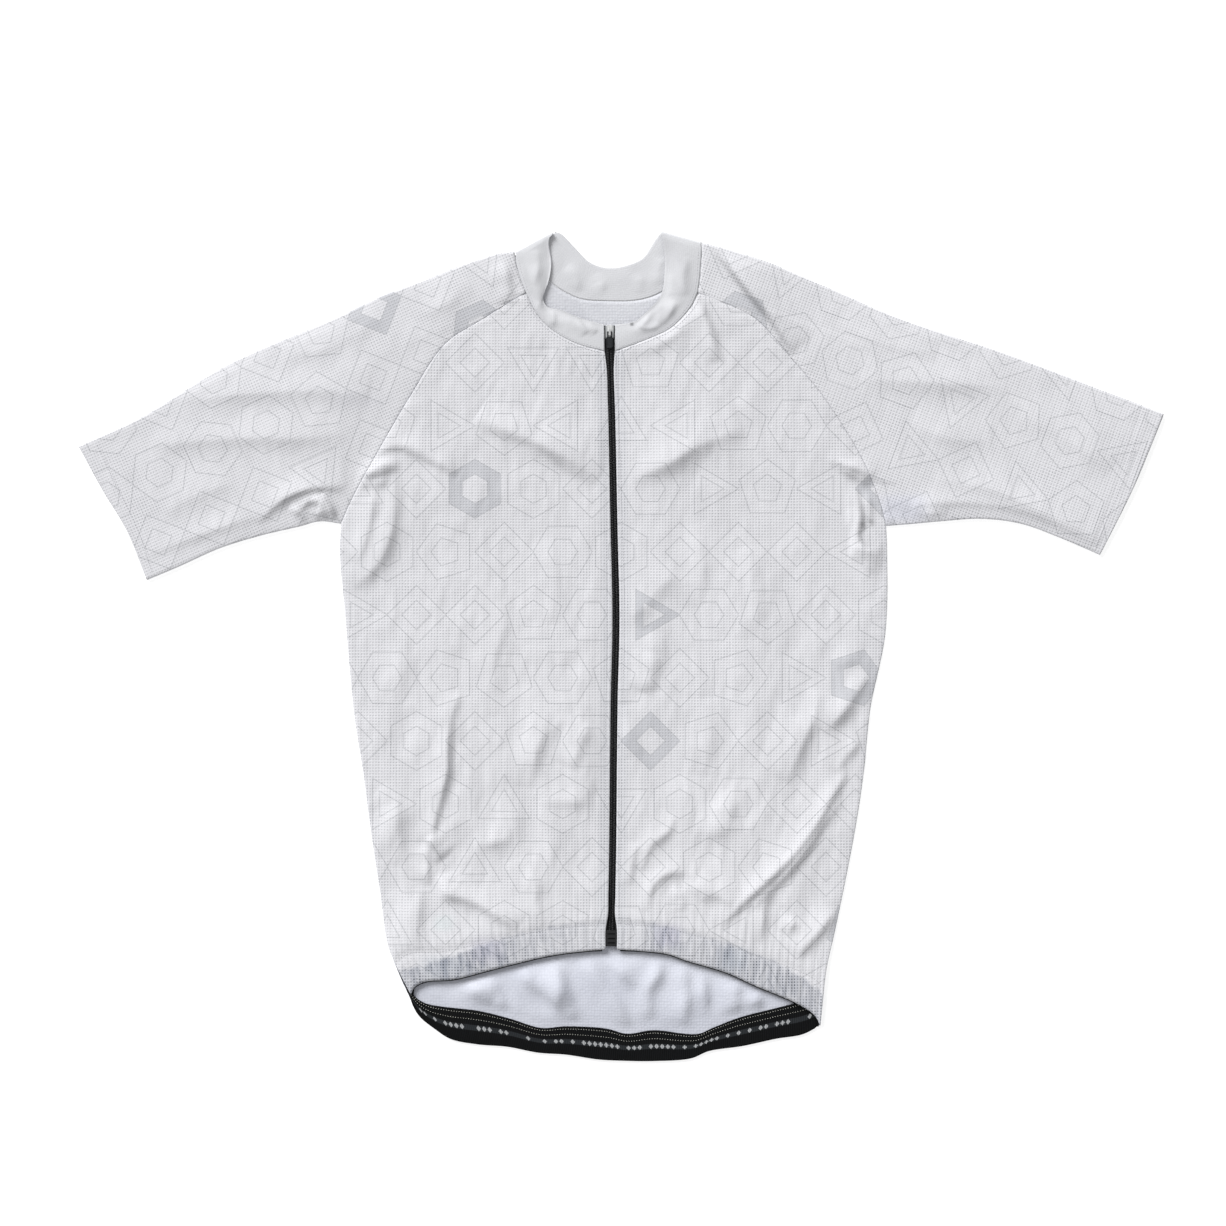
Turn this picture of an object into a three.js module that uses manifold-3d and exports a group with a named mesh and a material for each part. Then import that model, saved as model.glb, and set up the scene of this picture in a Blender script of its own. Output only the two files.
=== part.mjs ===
// Short sleeved zip-front riding jersey, laid flat with its front up.
// Millimetres. X runs to the right of the view, Y from the hem up to the collar,
// Z up from the table. The underside of the back and of the sleeves lies at z = 0.
import * as THREE from 'three'
import Module from 'manifold-3d'
import { mergeVertices } from 'three/addons/utils/BufferGeometryUtils.js'

const wasm = await Module()
wasm.setup()

// Driving sizes
const cloth = 1.2 // wall of every cloth piece
const seamGap = 0.3 // clear gap along each seam
const backRest = cloth / 2 // height of the middle of the back layer
const elasticWall = 1.0 // wall of the gripper band
const elasticBack = 2.0 // middle height of the band where it lies on the back
const elasticFront = 3.9 // middle height of the band behind the front hem
const elasticTall = 25 // height of the band behind the front hem
const elasticShows = 1.4 // how far the band looks out under the front hem
const tapeWide = 13 // half width of the zip tape
const tapeWall = 1.0
const coilWide = 2.75 // outer side of one row of coil from the zip's middle
const coilTall = 2.5
const zipTop = 285 // end of the tapes, at the collar's top edge
const zipFoot = -266.8
const gathersPerFront = 25
const sliderAt = 279 // height of the pull's pivot up the zip

// Zip line: x of its middle, underside of the cloth beside it, half opening
const zipRows = [
  { y: -269.4, x: -8.9, lift: 1.5, gap: 5.0 },
  { y: -252, x: -8.8, lift: 1.6, gap: 5.0 },
  { y: -238, x: -8.6, lift: 2.1, gap: 3.05 },
  { y: -222, x: -8.3, lift: 2.95, gap: 3.05 },
  { y: -176, x: -7.5, lift: 2.95, gap: 3.05 },
  { y: -48, x: -6.2, lift: 2.95, gap: 3.05 },
  { y: 23, x: -4.6, lift: 2.95, gap: 3.05 },
  { y: 100, x: -6.2, lift: 2.95, gap: 3.05 },
  { y: 206, x: -8.4, lift: 2.95, gap: 3.05 },
  { y: 219, x: -8.8, lift: 3.0, gap: 3.05 },
  { y: 245, x: -9.6, lift: 4.3, gap: 3.05 },
  { y: 262.5, x: -10.3, lift: 5.1, gap: 4.6 },
]

// Side edges, from the hem corner up to the armpit
const sideLeftRows = [
  { x: -187, y: -309.5, lift: 1.5 },
  { x: -198.7, y: -286.4, lift: 1.5 },
  { x: -207.6, y: -264, lift: 1.5 },
  { x: -214.7, y: -217, lift: 1.5 },
  { x: -222.7, y: -163.5, lift: 1.5 },
  { x: -229.8, y: -110, lift: 1.5 },
  { x: -237.9, y: -56.7, lift: 1.5 },
  { x: -245.5, y: 28, lift: 1.5 },
  { x: -250.3, y: 86, lift: 1.6 },
  { x: -249, y: 109, lift: 1.8 },
]
const sideRightRows = [
  { x: 177, y: -337, lift: 1.5 },
  { x: 179.5, y: -311.3, lift: 1.5 },
  { x: 182.2, y: -288, lift: 1.5 },
  { x: 190.2, y: -252.5, lift: 1.5 },
  { x: 208, y: -163.5, lift: 1.5 },
  { x: 216, y: -110, lift: 1.5 },
  { x: 221.4, y: -56.7, lift: 1.5 },
  { x: 235, y: 12, lift: 1.5 },
  { x: 236.5, y: 84, lift: 1.6 },
  { x: 235.6, y: 107, lift: 1.8 },
]

// Front raglan seams, from the armpit up to the collar
const raglanLeftRows = [
  { x: -249, y: 109, lift: 1.8 },
  { x: -239.8, y: 130, lift: 2.2 },
  { x: -219.2, y: 167.5, lift: 2.6 },
  { x: -187.1, y: 222.7, lift: 3.2 },
  { x: -156, y: 269, lift: 3.8 },
  { x: -124.8, y: 289.5, lift: 4.2 },
  { x: -84.5, y: 314.5, lift: 4.5 },
]
const raglanRightRows = [
  { x: 235.6, y: 107, lift: 1.8 },
  { x: 230.3, y: 128, lift: 2.2 },
  { x: 214.3, y: 166.7, lift: 2.6 },
  { x: 182.2, y: 218.3, lift: 3.2 },
  { x: 153.8, y: 253, lift: 3.6 },
  { x: 119, y: 291.3, lift: 4.2 },
  { x: 96.8, y: 302.8, lift: 4.4 },
  { x: 68, y: 314.5, lift: 4.5 },
]

// Last stretch of the back raglan seams, hidden under the front
const raglanBackLeftRows = [
  ...raglanLeftRows.slice(0, 5),
  { x: -116, y: 300, lift: 0 },
  { x: -76.8, y: 332.2, lift: 0 },
]
const raglanBackRightRows = [
  ...raglanRightRows.slice(0, 5),
  { x: 112, y: 294, lift: 0 },
  { x: 55, y: 332, lift: 0 },
]

// Front hem edges, from the side to the zip
const hemLeftRows = [
  { x: -187, y: -309.5, lift: 1.5 },
  { x: -183.6, y: -303, lift: 1.5 },
  { x: -173.8, y: -297.9, lift: 1.5 },
  { x: -149, y: -296, lift: 1.5 },
  { x: -119.5, y: -288.6, lift: 1.5 },
  { x: -91.9, y: -281.5, lift: 1.5 },
  { x: -62.5, y: -274.8, lift: 1.5 },
  { x: -30, y: -270.6, lift: 1.5 },
]
const hemRightRows = [
  { x: 177, y: -337, lift: 1.5 },
  { x: 171.5, y: -327.5, lift: 1.5 },
  { x: 156.4, y: -317.5, lift: 1.5 },
  { x: 119, y: -301.5, lift: 1.5 },
  { x: 93.2, y: -289.9, lift: 1.5 },
  { x: 57.6, y: -279.2, lift: 1.5 },
  { x: 41.6, y: -273.6, lift: 1.5 },
  { x: 19.4, y: -270.8, lift: 1.5 },
]

// Collar seam: shoulder stretch from the fold to the raglan seam, then the front
const neckSideLeftRows = [
  { x: -94.6, y: 350.9, lift: 4.5 },
  { x: -92.8, y: 339.3, lift: 4.5 },
  { x: -90.1, y: 329.5, lift: 4.5 },
  { x: -84.5, y: 314.5, lift: 4.5 },
]
const neckFrontLeftRows = [
  { x: -84.5, y: 314.5, lift: 4.5 },
  { x: -76.3, y: 298, lift: 4.6 },
  { x: -67, y: 286.2, lift: 4.8 },
  { x: -53.6, y: 276.1, lift: 5.0 },
  { x: -36.7, y: 268.1, lift: 5.1 },
]
const neckSideRightRows = [
  { x: 71.9, y: 359.3, lift: 4.5 },
  { x: 71, y: 343.8, lift: 4.5 },
  { x: 69.8, y: 328, lift: 4.5 },
  { x: 68, y: 314.5, lift: 4.5 },
]
const neckFrontRightRows = [
  { x: 68, y: 314.5, lift: 4.5 },
  { x: 63, y: 303.5, lift: 4.6 },
  { x: 54.1, y: 292.1, lift: 4.7 },
  { x: 42.5, y: 281.8, lift: 4.9 },
  { x: 25.6, y: 273.9, lift: 5.1 },
  { x: 8.7, y: 267.5, lift: 5.1 },
]

// Collar seam of the back layer: left shoulder, back of the neck, right shoulder
const neckBackLeftRows = [
  { x: -94.6, y: 350.9, lift: 0 },
  { x: -86, y: 340.6, lift: 0 },
  { x: -76.8, y: 332.2, lift: 0 },
]
const neckBackRows = [
  { x: -76.8, y: 332.2, lift: 0 },
  { x: -63.9, y: 324.6, lift: 0 },
  { x: -53.6, y: 317.1, lift: 0 },
  { x: -35.8, y: 309.1, lift: 0 },
  { x: -13.6, y: 307.3, lift: 0 },
  { x: 15.8, y: 308.2, lift: 0 },
  { x: 36.3, y: 315.4, lift: 0 },
  { x: 55, y: 332, lift: 0 },
]
const neckBackRightRows = [
  { x: 55, y: 332, lift: 0 },
  { x: 64, y: 344.6, lift: 0 },
  { x: 71.9, y: 359.3, lift: 0 },
]

// Top edge of the collar: front left, back and front right layers
const collarTopLeftRows = [
  { x: -61.6, y: 368.7, lift: 4.5 },
  { x: -64.3, y: 359, lift: 4.5 },
  { x: -62, y: 340.2, lift: 4.6 },
  { x: -64.4, y: 325.1, lift: 4.8 },
  { x: -69.6, y: 309.5, lift: 5.1 },
  { x: -65.5, y: 301.8, lift: 5.1 },
  { x: -53.6, y: 298.8, lift: 5.1 },
  { x: -37.6, y: 292.1, lift: 5.1 },
  { x: -15.1, y: 285.6, lift: 5.1 },
]
const collarTopBackRows = [
  { x: -61.6, y: 368.7, lift: 0 },
  { x: -54.5, y: 367.4, lift: 0 },
  { x: -42, y: 355.3, lift: 0 },
  { x: -28.7, y: 342, lift: 0 },
  { x: -13.6, y: 336.7, lift: 0 },
  { x: 3.3, y: 338.4, lift: 0 },
  { x: 19.4, y: 345.5, lift: 0 },
  { x: 29.1, y: 359.8, lift: 0 },
  { x: 35.4, y: 369, lift: 0 },
]
const collarTopRightRows = [
  { x: 35.4, y: 369, lift: 4.5 },
  { x: 38.9, y: 347, lift: 4.5 },
  { x: 38.5, y: 331.3, lift: 4.6 },
  { x: 37.2, y: 318, lift: 4.8 },
  { x: 33.6, y: 309, lift: 5.0 },
  { x: 25.6, y: 300.2, lift: 5.1 },
  { x: 12.2, y: 288.8, lift: 5.1 },
  { x: -5.5, y: 285.6, lift: 5.1 },
]

// Sleeves: upper and lower fold lines from the body to the cuff
const sleeveTopLeftRows = [
  { x: -94.6, y: 350.9, lift: 4.5 },
  { x: -108, y: 350, lift: 4.4 },
  { x: -143.5, y: 338.4, lift: 4.0 },
  { x: -179.1, y: 324.2, lift: 3.6 },
  { x: -214.7, y: 310.8, lift: 3.4 },
  { x: -250.3, y: 293.6, lift: 3.4 },
  { x: -321.5, y: 263.7, lift: 3.4 },
  { x: -357.1, y: 246.8, lift: 3.3 },
  { x: -428.3, y: 203.1, lift: 3.2 },
  { x: -482.5, y: 178.2, lift: 3.2 },
]
const sleeveFootLeftRows = [
  { x: -249, y: 109, lift: 1.8 },
  { x: -268.1, y: 111, lift: 2.6 },
  { x: -285.9, y: 106.5, lift: 3.0 },
  { x: -321.5, y: 98.1, lift: 3.2 },
  { x: -357.1, y: 87, lift: 3.2 },
  { x: -392.7, y: 71, lift: 3.2 },
  { x: -421.6, y: 58.8, lift: 3.2 },
]
const sleeveTopRightRows = [
  { x: 71.9, y: 359.3, lift: 4.5 },
  { x: 95.9, y: 352.7, lift: 4.3 },
  { x: 132.4, y: 341.1, lift: 4.0 },
  { x: 159.1, y: 329.5, lift: 3.6 },
  { x: 194.7, y: 314.4, lift: 3.4 },
  { x: 230.3, y: 298.4, lift: 3.4 },
  { x: 265.9, y: 285, lift: 3.4 },
  { x: 337.1, y: 261.9, lift: 3.4 },
  { x: 408.3, y: 235.2, lift: 3.3 },
  { x: 443.9, y: 221.8, lift: 3.2 },
  { x: 482.5, y: 206.7, lift: 3.2 },
]
const sleeveFootRightRows = [
  { x: 235.6, y: 107, lift: 1.8 },
  { x: 256, y: 108.5, lift: 2.6 },
  { x: 283.7, y: 111, lift: 3.0 },
  { x: 319.3, y: 113.3, lift: 3.2 },
  { x: 354.9, y: 109, lift: 3.2 },
  { x: 390.5, y: 96.3, lift: 3.2 },
  { x: 425.6, y: 81.2, lift: 3.2 },
]
const cuffLeftRows = [
  { x: -482.5, y: 178.2, lift: 3.2 },
  { x: -461.2, y: 139.1, lift: 3.6 },
  { x: -439.9, y: 103.5, lift: 3.6 },
  { x: -421.6, y: 58.8, lift: 3.2 },
]
const cuffRightRows = [
  { x: 482.5, y: 206.7, lift: 3.2 },
  { x: 469.6, y: 174.7, lift: 3.6 },
  { x: 454.5, y: 139.1, lift: 3.6 },
  { x: 425.6, y: 81.2, lift: 3.2 },
]

// Gripper band where it lies on the inside of the back: its two edges
const bandTopRows = [
  { x: -198.2, y: -287.4 },
  { x: -191, y: -300 },
  { x: -183.6, y: -311.5 },
  { x: -173.8, y: -317.6 },
  { x: -158.2, y: -320.6 },
  { x: -127.5, y: -324.2 },
  { x: -99.9, y: -330.9 },
  { x: -71.4, y: -339.4 },
  { x: -49.2, y: -338 },
  { x: -13.6, y: -340 },
  { x: 5.1, y: -344.6 },
  { x: 28.3, y: -341.5 },
  { x: 67.9, y: -344.8 },
  { x: 82.5, y: -338.9 },
  { x: 105.7, y: -330 },
  { x: 133.3, y: -322.9 },
  { x: 154.6, y: -317.5 },
  { x: 178.6, y: -311.3 },
]
const bandFootRows = [
  { x: -186, y: -311.5 },
  { x: -184.8, y: -320 },
  { x: -179.5, y: -329 },
  { x: -166.5, y: -339.8 },
  { x: -151.5, y: -349.3 },
  { x: -128, y: -354 },
  { x: -101, y: -356.2 },
  { x: -74, y: -361.4 },
  { x: -49, y: -363.2 },
  { x: -20, y: -367.5 },
  { x: 2, y: -368.6 },
  { x: 28.3, y: -368.9 },
  { x: 62, y: -366.5 },
  { x: 78, y: -360 },
  { x: 108, y: -355.5 },
  { x: 138, y: -349 },
  { x: 161, y: -345.2 },
  { x: 175.6, y: -338 },
]

// Sections up a front: share of the way from hem to collar, extra height over
// the band, height of the gathers and number of cells across
const frontRows = [
  { up: 0, raise: 3.2, gather: 0.5, cells: 100 },
  { up: 0.016, raise: 3.2, gather: 1.3, cells: 100 },
  { up: 0.036, raise: 3.2, gather: 1.1, cells: 100 },
  { up: 0.056, raise: 3.1, gather: 0.4, cells: 100 },
  { up: 0.09, raise: 1.3, gather: 0, cells: 20 },
  { up: 0.13, raise: 0.4, gather: 0, cells: 20 },
]
const rowsToArmpit = 14

// Cells along each seam, the same for the two pieces that meet there
const raglanCells = 10
const shoulderCells = 3
const neckFrontCells = 20
const neckBackCells = 16

// Largest folds of the fronts and sleeves: run, height and half width
const foldRows = [
  { fromX: -222, fromY: 166, toX: -149, toY: 152, high: 1.3, half: 13 },
  { fromX: -118, fromY: 198, toX: -32, toY: 151, high: 1.2, half: 14 },
  { fromX: -201, fromY: 140, toX: -231, toY: 52, high: 1.3, half: 13 },
  { fromX: -141, fromY: -38, toX: -169, toY: -176, high: 1.5, half: 12 },
  { fromX: -161, fromY: -221, toX: -94, toY: -248, high: 1.0, half: 12 },
  { fromX: -34, fromY: -66, toX: -75, toY: -121, high: 1.0, half: 12 },
  { fromX: 12, fromY: 144, toX: 100, toY: 187, high: 1.2, half: 14 },
  { fromX: 181, fromY: -34, toX: 152, toY: -125, high: 1.2, half: 12 },
  { fromX: 199, fromY: -112, toX: 92, toY: -245, high: 1.6, half: 13 },
  { fromX: 171, fromY: -165, toX: 124, toY: -258, high: 1.2, half: 12 },
  { fromX: 190, fromY: 129, toX: 192, toY: 60, high: 1.1, half: 12 },
  { fromX: 15, fromY: 23, toX: 56, toY: 62, high: 0.8, half: 12 },
  { fromX: 220, fromY: -30, toX: 181, toY: -80, high: 1.0, half: 12 },
  { fromX: 90, fromY: 340, toX: 146, toY: 262, high: 0.8, half: 13 },
  { fromX: -390, fromY: 209, toX: -232, toY: 218, high: 0.7, half: 15 },
  { fromX: -414, fromY: 174, toX: -250, toY: 184, high: 0.6, half: 13 },
  { fromX: -308, fromY: 117, toX: -250, toY: 140, high: 1.1, half: 12 },
  { fromX: 224, fromY: 229, toX: 338, toY: 224, high: 0.7, half: 15 },
  { fromX: 292, fromY: 141, toX: 400, toY: 104, high: 0.7, half: 13 },
]

const jersey = new THREE.Group()

const lightKnit = new THREE.MeshStandardMaterial({ color: 0xdcdce0, roughness: 0.9, metalness: 0 })
const collarKnit = new THREE.MeshStandardMaterial({ color: 0xd9d9dc, roughness: 0.85, metalness: 0 })
const blackElastic = new THREE.MeshStandardMaterial({ color: 0x131517, roughness: 0.8, metalness: 0 })
const blackTape = new THREE.MeshStandardMaterial({ color: 0x1b1c1e, roughness: 0.6, metalness: 0 })
const brightMetal = new THREE.MeshStandardMaterial({ color: 0xb9bbbd, roughness: 0.3, metalness: 0.9 })
const darkMetal = new THREE.MeshStandardMaterial({ color: 0x3a3c3e, roughness: 0.45, metalness: 0.6 })

const up = new THREE.Vector3(0, 0, 1)
const down = new THREE.Vector3(0, 0, -1)

// One smooth run through the rows of one table or of several end to end
function runOf(...tables) {
  const path = new THREE.CurvePath()
  for (const table of tables) {
    const points = table.map((row) => new THREE.Vector3(row.x, row.y, row.lift ?? 0))
    path.add(new THREE.CatmullRomCurve3(points, false, 'centripetal'))
  }
  return path
}

// Value of a column of the zip table at a height up the zip
function zipValue(y, column) {
  const last = zipRows.length - 1
  const limited = THREE.MathUtils.clamp(y, zipRows[0].y, zipRows[last].y)
  let index = 0
  while (index < last - 1 && zipRows[index + 1].y < limited) {
    index += 1
  }
  const low = zipRows[index]
  const high = zipRows[index + 1]
  const share = (limited - low.y) / (high.y - low.y)
  return low[column] + (high[column] - low[column]) * share
}

// Edge of a front beside the zip, from the hem to the collar; side is -1 or 1
function zipEdge(side) {
  return zipRows.map((row) => ({ x: row.x + side * row.gap, y: row.y, lift: row.lift }))
}

function foldHeight(x, y) {
  let height = 0
  for (const fold of foldRows) {
    const runX = fold.toX - fold.fromX
    const runY = fold.toY - fold.fromY
    const along = ((x - fold.fromX) * runX + (y - fold.fromY) * runY) / (runX * runX + runY * runY)
    const held = THREE.MathUtils.clamp(along, 0, 1)
    const away = Math.hypot(x - fold.fromX - held * runX, y - fold.fromY - held * runY)
    height += fold.high * Math.exp(-((away / fold.half) ** 2))
  }
  return height
}

// Point of a four-sided piece between its hem, top, outer and inner runs
function patchPoint(piece, across, along) {
  const foot = piece.foot.getPoint(across)
  const head = piece.head.getPoint(across)
  const outer = piece.outer.getPoint(along)
  const inner = piece.inner.getPoint(along)
  const point = new THREE.Vector3()
  point.addScaledVector(foot, 1 - along).addScaledVector(head, along)
  point.addScaledVector(outer, 1 - across).addScaledVector(inner, across)
  point.addScaledVector(piece.corners.footOuter, -(1 - across) * (1 - along))
  point.addScaledVector(piece.corners.footInner, -across * (1 - along))
  point.addScaledVector(piece.corners.headOuter, -(1 - across) * along)
  point.addScaledVector(piece.corners.headInner, -across * along)
  return point
}

function fourSided(foot, head, outer, inner) {
  const corners = {
    footOuter: outer.getPoint(0),
    footInner: inner.getPoint(0),
    headOuter: outer.getPoint(1),
    headInner: inner.getPoint(1),
  }
  return { foot, head, outer, inner, corners }
}

// Moves one edge line square to itself towards the next line by a distance
function edgeShifts(line, next, distance) {
  return line.map((spot, index) => {
    const before = line[Math.max(index - 1, 0)].at
    const after = line[Math.min(index + 1, line.length - 1)].at
    const run = new THREE.Vector3().subVectors(after, before).setZ(0).normalize()
    const towards = new THREE.Vector3().subVectors(next[index].at, spot.at).setZ(0)
    towards.addScaledVector(run, -towards.dot(run)).normalize()
    return towards.multiplyScalar(distance)
  })
}

function applyShifts(line, shifts) {
  line.forEach((spot, index) => spot.at.add(shifts[index]))
}

// Draws all four edges of a piece in by half the seam gap
function trimAllRound(lines) {
  const last = lines.length - 1
  const firstShifts = edgeShifts(lines[0], lines[1], seamGap / 2)
  const lastShifts = edgeShifts(lines[last], lines[last - 1], seamGap / 2)
  const outer = lines.map((line) => line[0])
  const nextOuter = lines.map((line) => line[1])
  const inner = lines.map((line) => line[line.length - 1])
  const nextInner = lines.map((line) => line[line.length - 2])
  const outerShifts = edgeShifts(outer, nextOuter, seamGap / 2)
  const innerShifts = edgeShifts(inner, nextInner, seamGap / 2)
  applyShifts(lines[0], firstShifts)
  applyShifts(lines[last], lastShifts)
  applyShifts(outer, outerShifts)
  applyShifts(inner, innerShifts)
}

// Strip of triangles between two lines of points that may differ in number
function joinLines(first, second, triangles) {
  let one = 0
  let two = 0
  while (one < first.length - 1 || two < second.length - 1) {
    const stepOne = one < first.length - 1 ? (one + 1) / (first.length - 1) : 2
    const stepTwo = two < second.length - 1 ? (two + 1) / (second.length - 1) : 2
    if (stepOne <= stepTwo) {
      triangles.push([first[one], first[one + 1], second[two]])
      one += 1
    } else {
      triangles.push([first[one], second[two + 1], second[two]])
      two += 1
    }
  }
}

// Closed wall of even thickness round the middle surface given by lines of
// spots, each with its place and the way out; ring joins the last line to the first
function wallMesh(name, lines, wall, material, ring = false) {
  const positions = []
  const sides = [0.5, -0.5].map((half) =>
    lines.map((line) =>
      line.map((spot) => {
        const corner = spot.at.clone().addScaledVector(spot.out, wall * half)
        positions.push(corner.x, corner.y, corner.z)
        return positions.length / 3 - 1
      }),
    ),
  )
  const triangles = []
  const [over, under] = sides
  const pairs = ring ? lines.length : lines.length - 1
  for (let index = 0; index < pairs; index += 1) {
    const next = (index + 1) % lines.length
    joinLines(over[index], over[next], triangles)
    const lower = []
    joinLines(under[index], under[next], lower)
    lower.forEach(([a, b, c]) => triangles.push([a, c, b]))
    const width = over[index].length - 1
    const nextWidth = over[next].length - 1
    joinLines([over[index][0], over[next][0]], [under[index][0], under[next][0]], triangles)
    joinLines(
      [over[next][nextWidth], over[index][width]],
      [under[next][nextWidth], under[index][width]],
      triangles,
    )
  }
  if (!ring) {
    const last = lines.length - 1
    joinLines(under[0], over[0], triangles)
    joinLines(over[last], under[last], triangles)
  }
  return solidMesh(name, positions, triangles, material)
}

// Six times the volume that a set of triangles encloses
function enclosed(positions, triangles) {
  const corner = (index) => new THREE.Vector3().fromArray(positions, index * 3)
  return triangles.reduce((sum, [a, b, c]) => sum + corner(a).dot(corner(b).cross(corner(c))), 0)
}

function solidMesh(name, positions, triangles, material) {
  const outward = enclosed(positions, triangles) > 0
  const order = triangles.map(([a, b, c]) => (outward ? [a, b, c] : [a, c, b]))
  const geometry = new THREE.BufferGeometry()
  geometry.setAttribute('position', new THREE.Float32BufferAttribute(positions, 3))
  geometry.setIndex(order.flat())
  geometry.computeVertexNormals()
  return addMesh(name, geometry, material)
}

function addMesh(name, geometry, material) {
  const mesh = new THREE.Mesh(geometry, material)
  mesh.name = name
  jersey.add(mesh)
  return mesh
}

// Square way out from a fold line in plan, away from the piece's middle
function wayOut(line, index, inside) {
  const before = line[Math.max(index - 1, 0)]
  const after = line[Math.min(index + 1, line.length - 1)]
  const run = new THREE.Vector3().subVectors(after, before).setZ(0).normalize()
  const out = new THREE.Vector3().subVectors(line[index], inside).setZ(0)
  return out.addScaledVector(run, -out.dot(run)).normalize()
}

// Round turn of a wall at a fold line, from its upper layer down to its lower
// one: three lines of spots, and the places where the two layers meet it
function foldTurn(foldLine, inside, lowAt, wall) {
  const angles = [45, 0, -45]
  const turn = angles.map(() => [])
  const upper = []
  const lower = []
  foldLine.forEach((edge, index) => {
    const out = wayOut(foldLine, index, inside[index])
    const high = edge.z + wall / 2
    const radius = (high - lowAt) / 2
    const centre = edge.clone().addScaledVector(out, -(radius + wall / 2))
    centre.z = lowAt + radius
    upper.push({ at: centre.clone().setZ(high), out: up.clone() })
    lower.push({ at: centre.clone().setZ(lowAt), out: down.clone() })
    angles.forEach((angle, step) => {
      const turned = THREE.MathUtils.degToRad(angle)
      const facing = out.clone().multiplyScalar(Math.cos(turned)).addScaledVector(up, Math.sin(turned))
      turn[step].push({ at: centre.clone().addScaledVector(facing, radius), out: facing })
    })
  })
  return { turn, upper, lower }
}

const steps = (count, low = 0, high = 1) =>
  Array.from({ length: count + 1 }, (_, index) => low + ((high - low) * index) / count)

// Share of a run's length at which its second stretch starts
function stretchShare(path) {
  const lengths = path.getCurveLengths()
  return lengths[0] / lengths[lengths.length - 1]
}

// Fronts: each one sheet from the hem to the collar and from the side to the zip
function addFront(name, side, sideRows, raglanRows, hemRows, neckRows) {
  const edge = zipEdge(side)
  const outer = runOf(sideRows, raglanRows)
  const inner = runOf(edge)
  const foot = runOf([...hemRows, edge[0]])
  const head = runOf([...neckRows, edge[edge.length - 1]])
  const piece = fourSided(foot, head, outer, inner)
  const armpit = stretchShare(outer)
  const plain = [
    ...steps(rowsToArmpit, frontRows[frontRows.length - 1].up, armpit).slice(1),
    ...steps(raglanCells, armpit, 1).slice(1),
  ].map((share) => ({ up: share, raise: 0, gather: 0, cells: neckFrontCells }))
  const lines = [...frontRows, ...plain].map((row) =>
    steps(row.cells).map((across) => {
      const at = patchPoint(piece, across, row.up)
      const middle = Math.sin(Math.PI * across)
      const puff = 0.7 * middle * Math.sin(Math.PI * Math.min(row.up * 1.5, 1))
      const wave = row.gather * (0.5 - 0.5 * Math.cos(2 * Math.PI * gathersPerFront * across))
      const clear = THREE.MathUtils.smoothstep(row.up, 0.05, 0.14)
      at.z += cloth / 2 + row.raise + puff + wave + foldHeight(at.x, at.y) * clear * middle
      return { at, out: up.clone() }
    }),
  )
  trimAllRound(lines)
  wallMesh(name, lines, cloth, lightKnit)
}

addFront('front_panel_left', -1, sideLeftRows, raglanLeftRows, hemLeftRows, neckFrontLeftRows)
addFront('front_panel_right', 1, sideRightRows, raglanRightRows, hemRightRows, neckFrontRightRows)

// Back: one flat sheet whose lower edge lies just inside the band's lower edge
function addBack() {
  const outer = runOf(sideLeftRows, raglanBackLeftRows)
  const inner = runOf(sideRightRows, raglanBackRightRows)
  const hem = bandFootRows.slice(1, -1).map((row) => ({ x: row.x, y: row.y + 0.6, lift: 0 }))
  const foot = runOf([sideLeftRows[0], ...hem, sideRightRows[0]])
  const piece = fourSided(foot, runOf(neckBackRows), outer, inner)
  const armpit = stretchShare(outer)
  const shares = [0, 0.02, ...steps(11, 0.045, armpit), ...steps(raglanCells, armpit, 1).slice(1)]
  const lines = shares.map((along) =>
    steps(neckBackCells).map((across) => {
      const at = patchPoint(piece, across, along)
      return { at: at.setZ(backRest), out: up.clone() }
    }),
  )
  trimAllRound(lines)
  wallMesh('back_panel', lines, cloth, lightKnit)
}

addBack()

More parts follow.
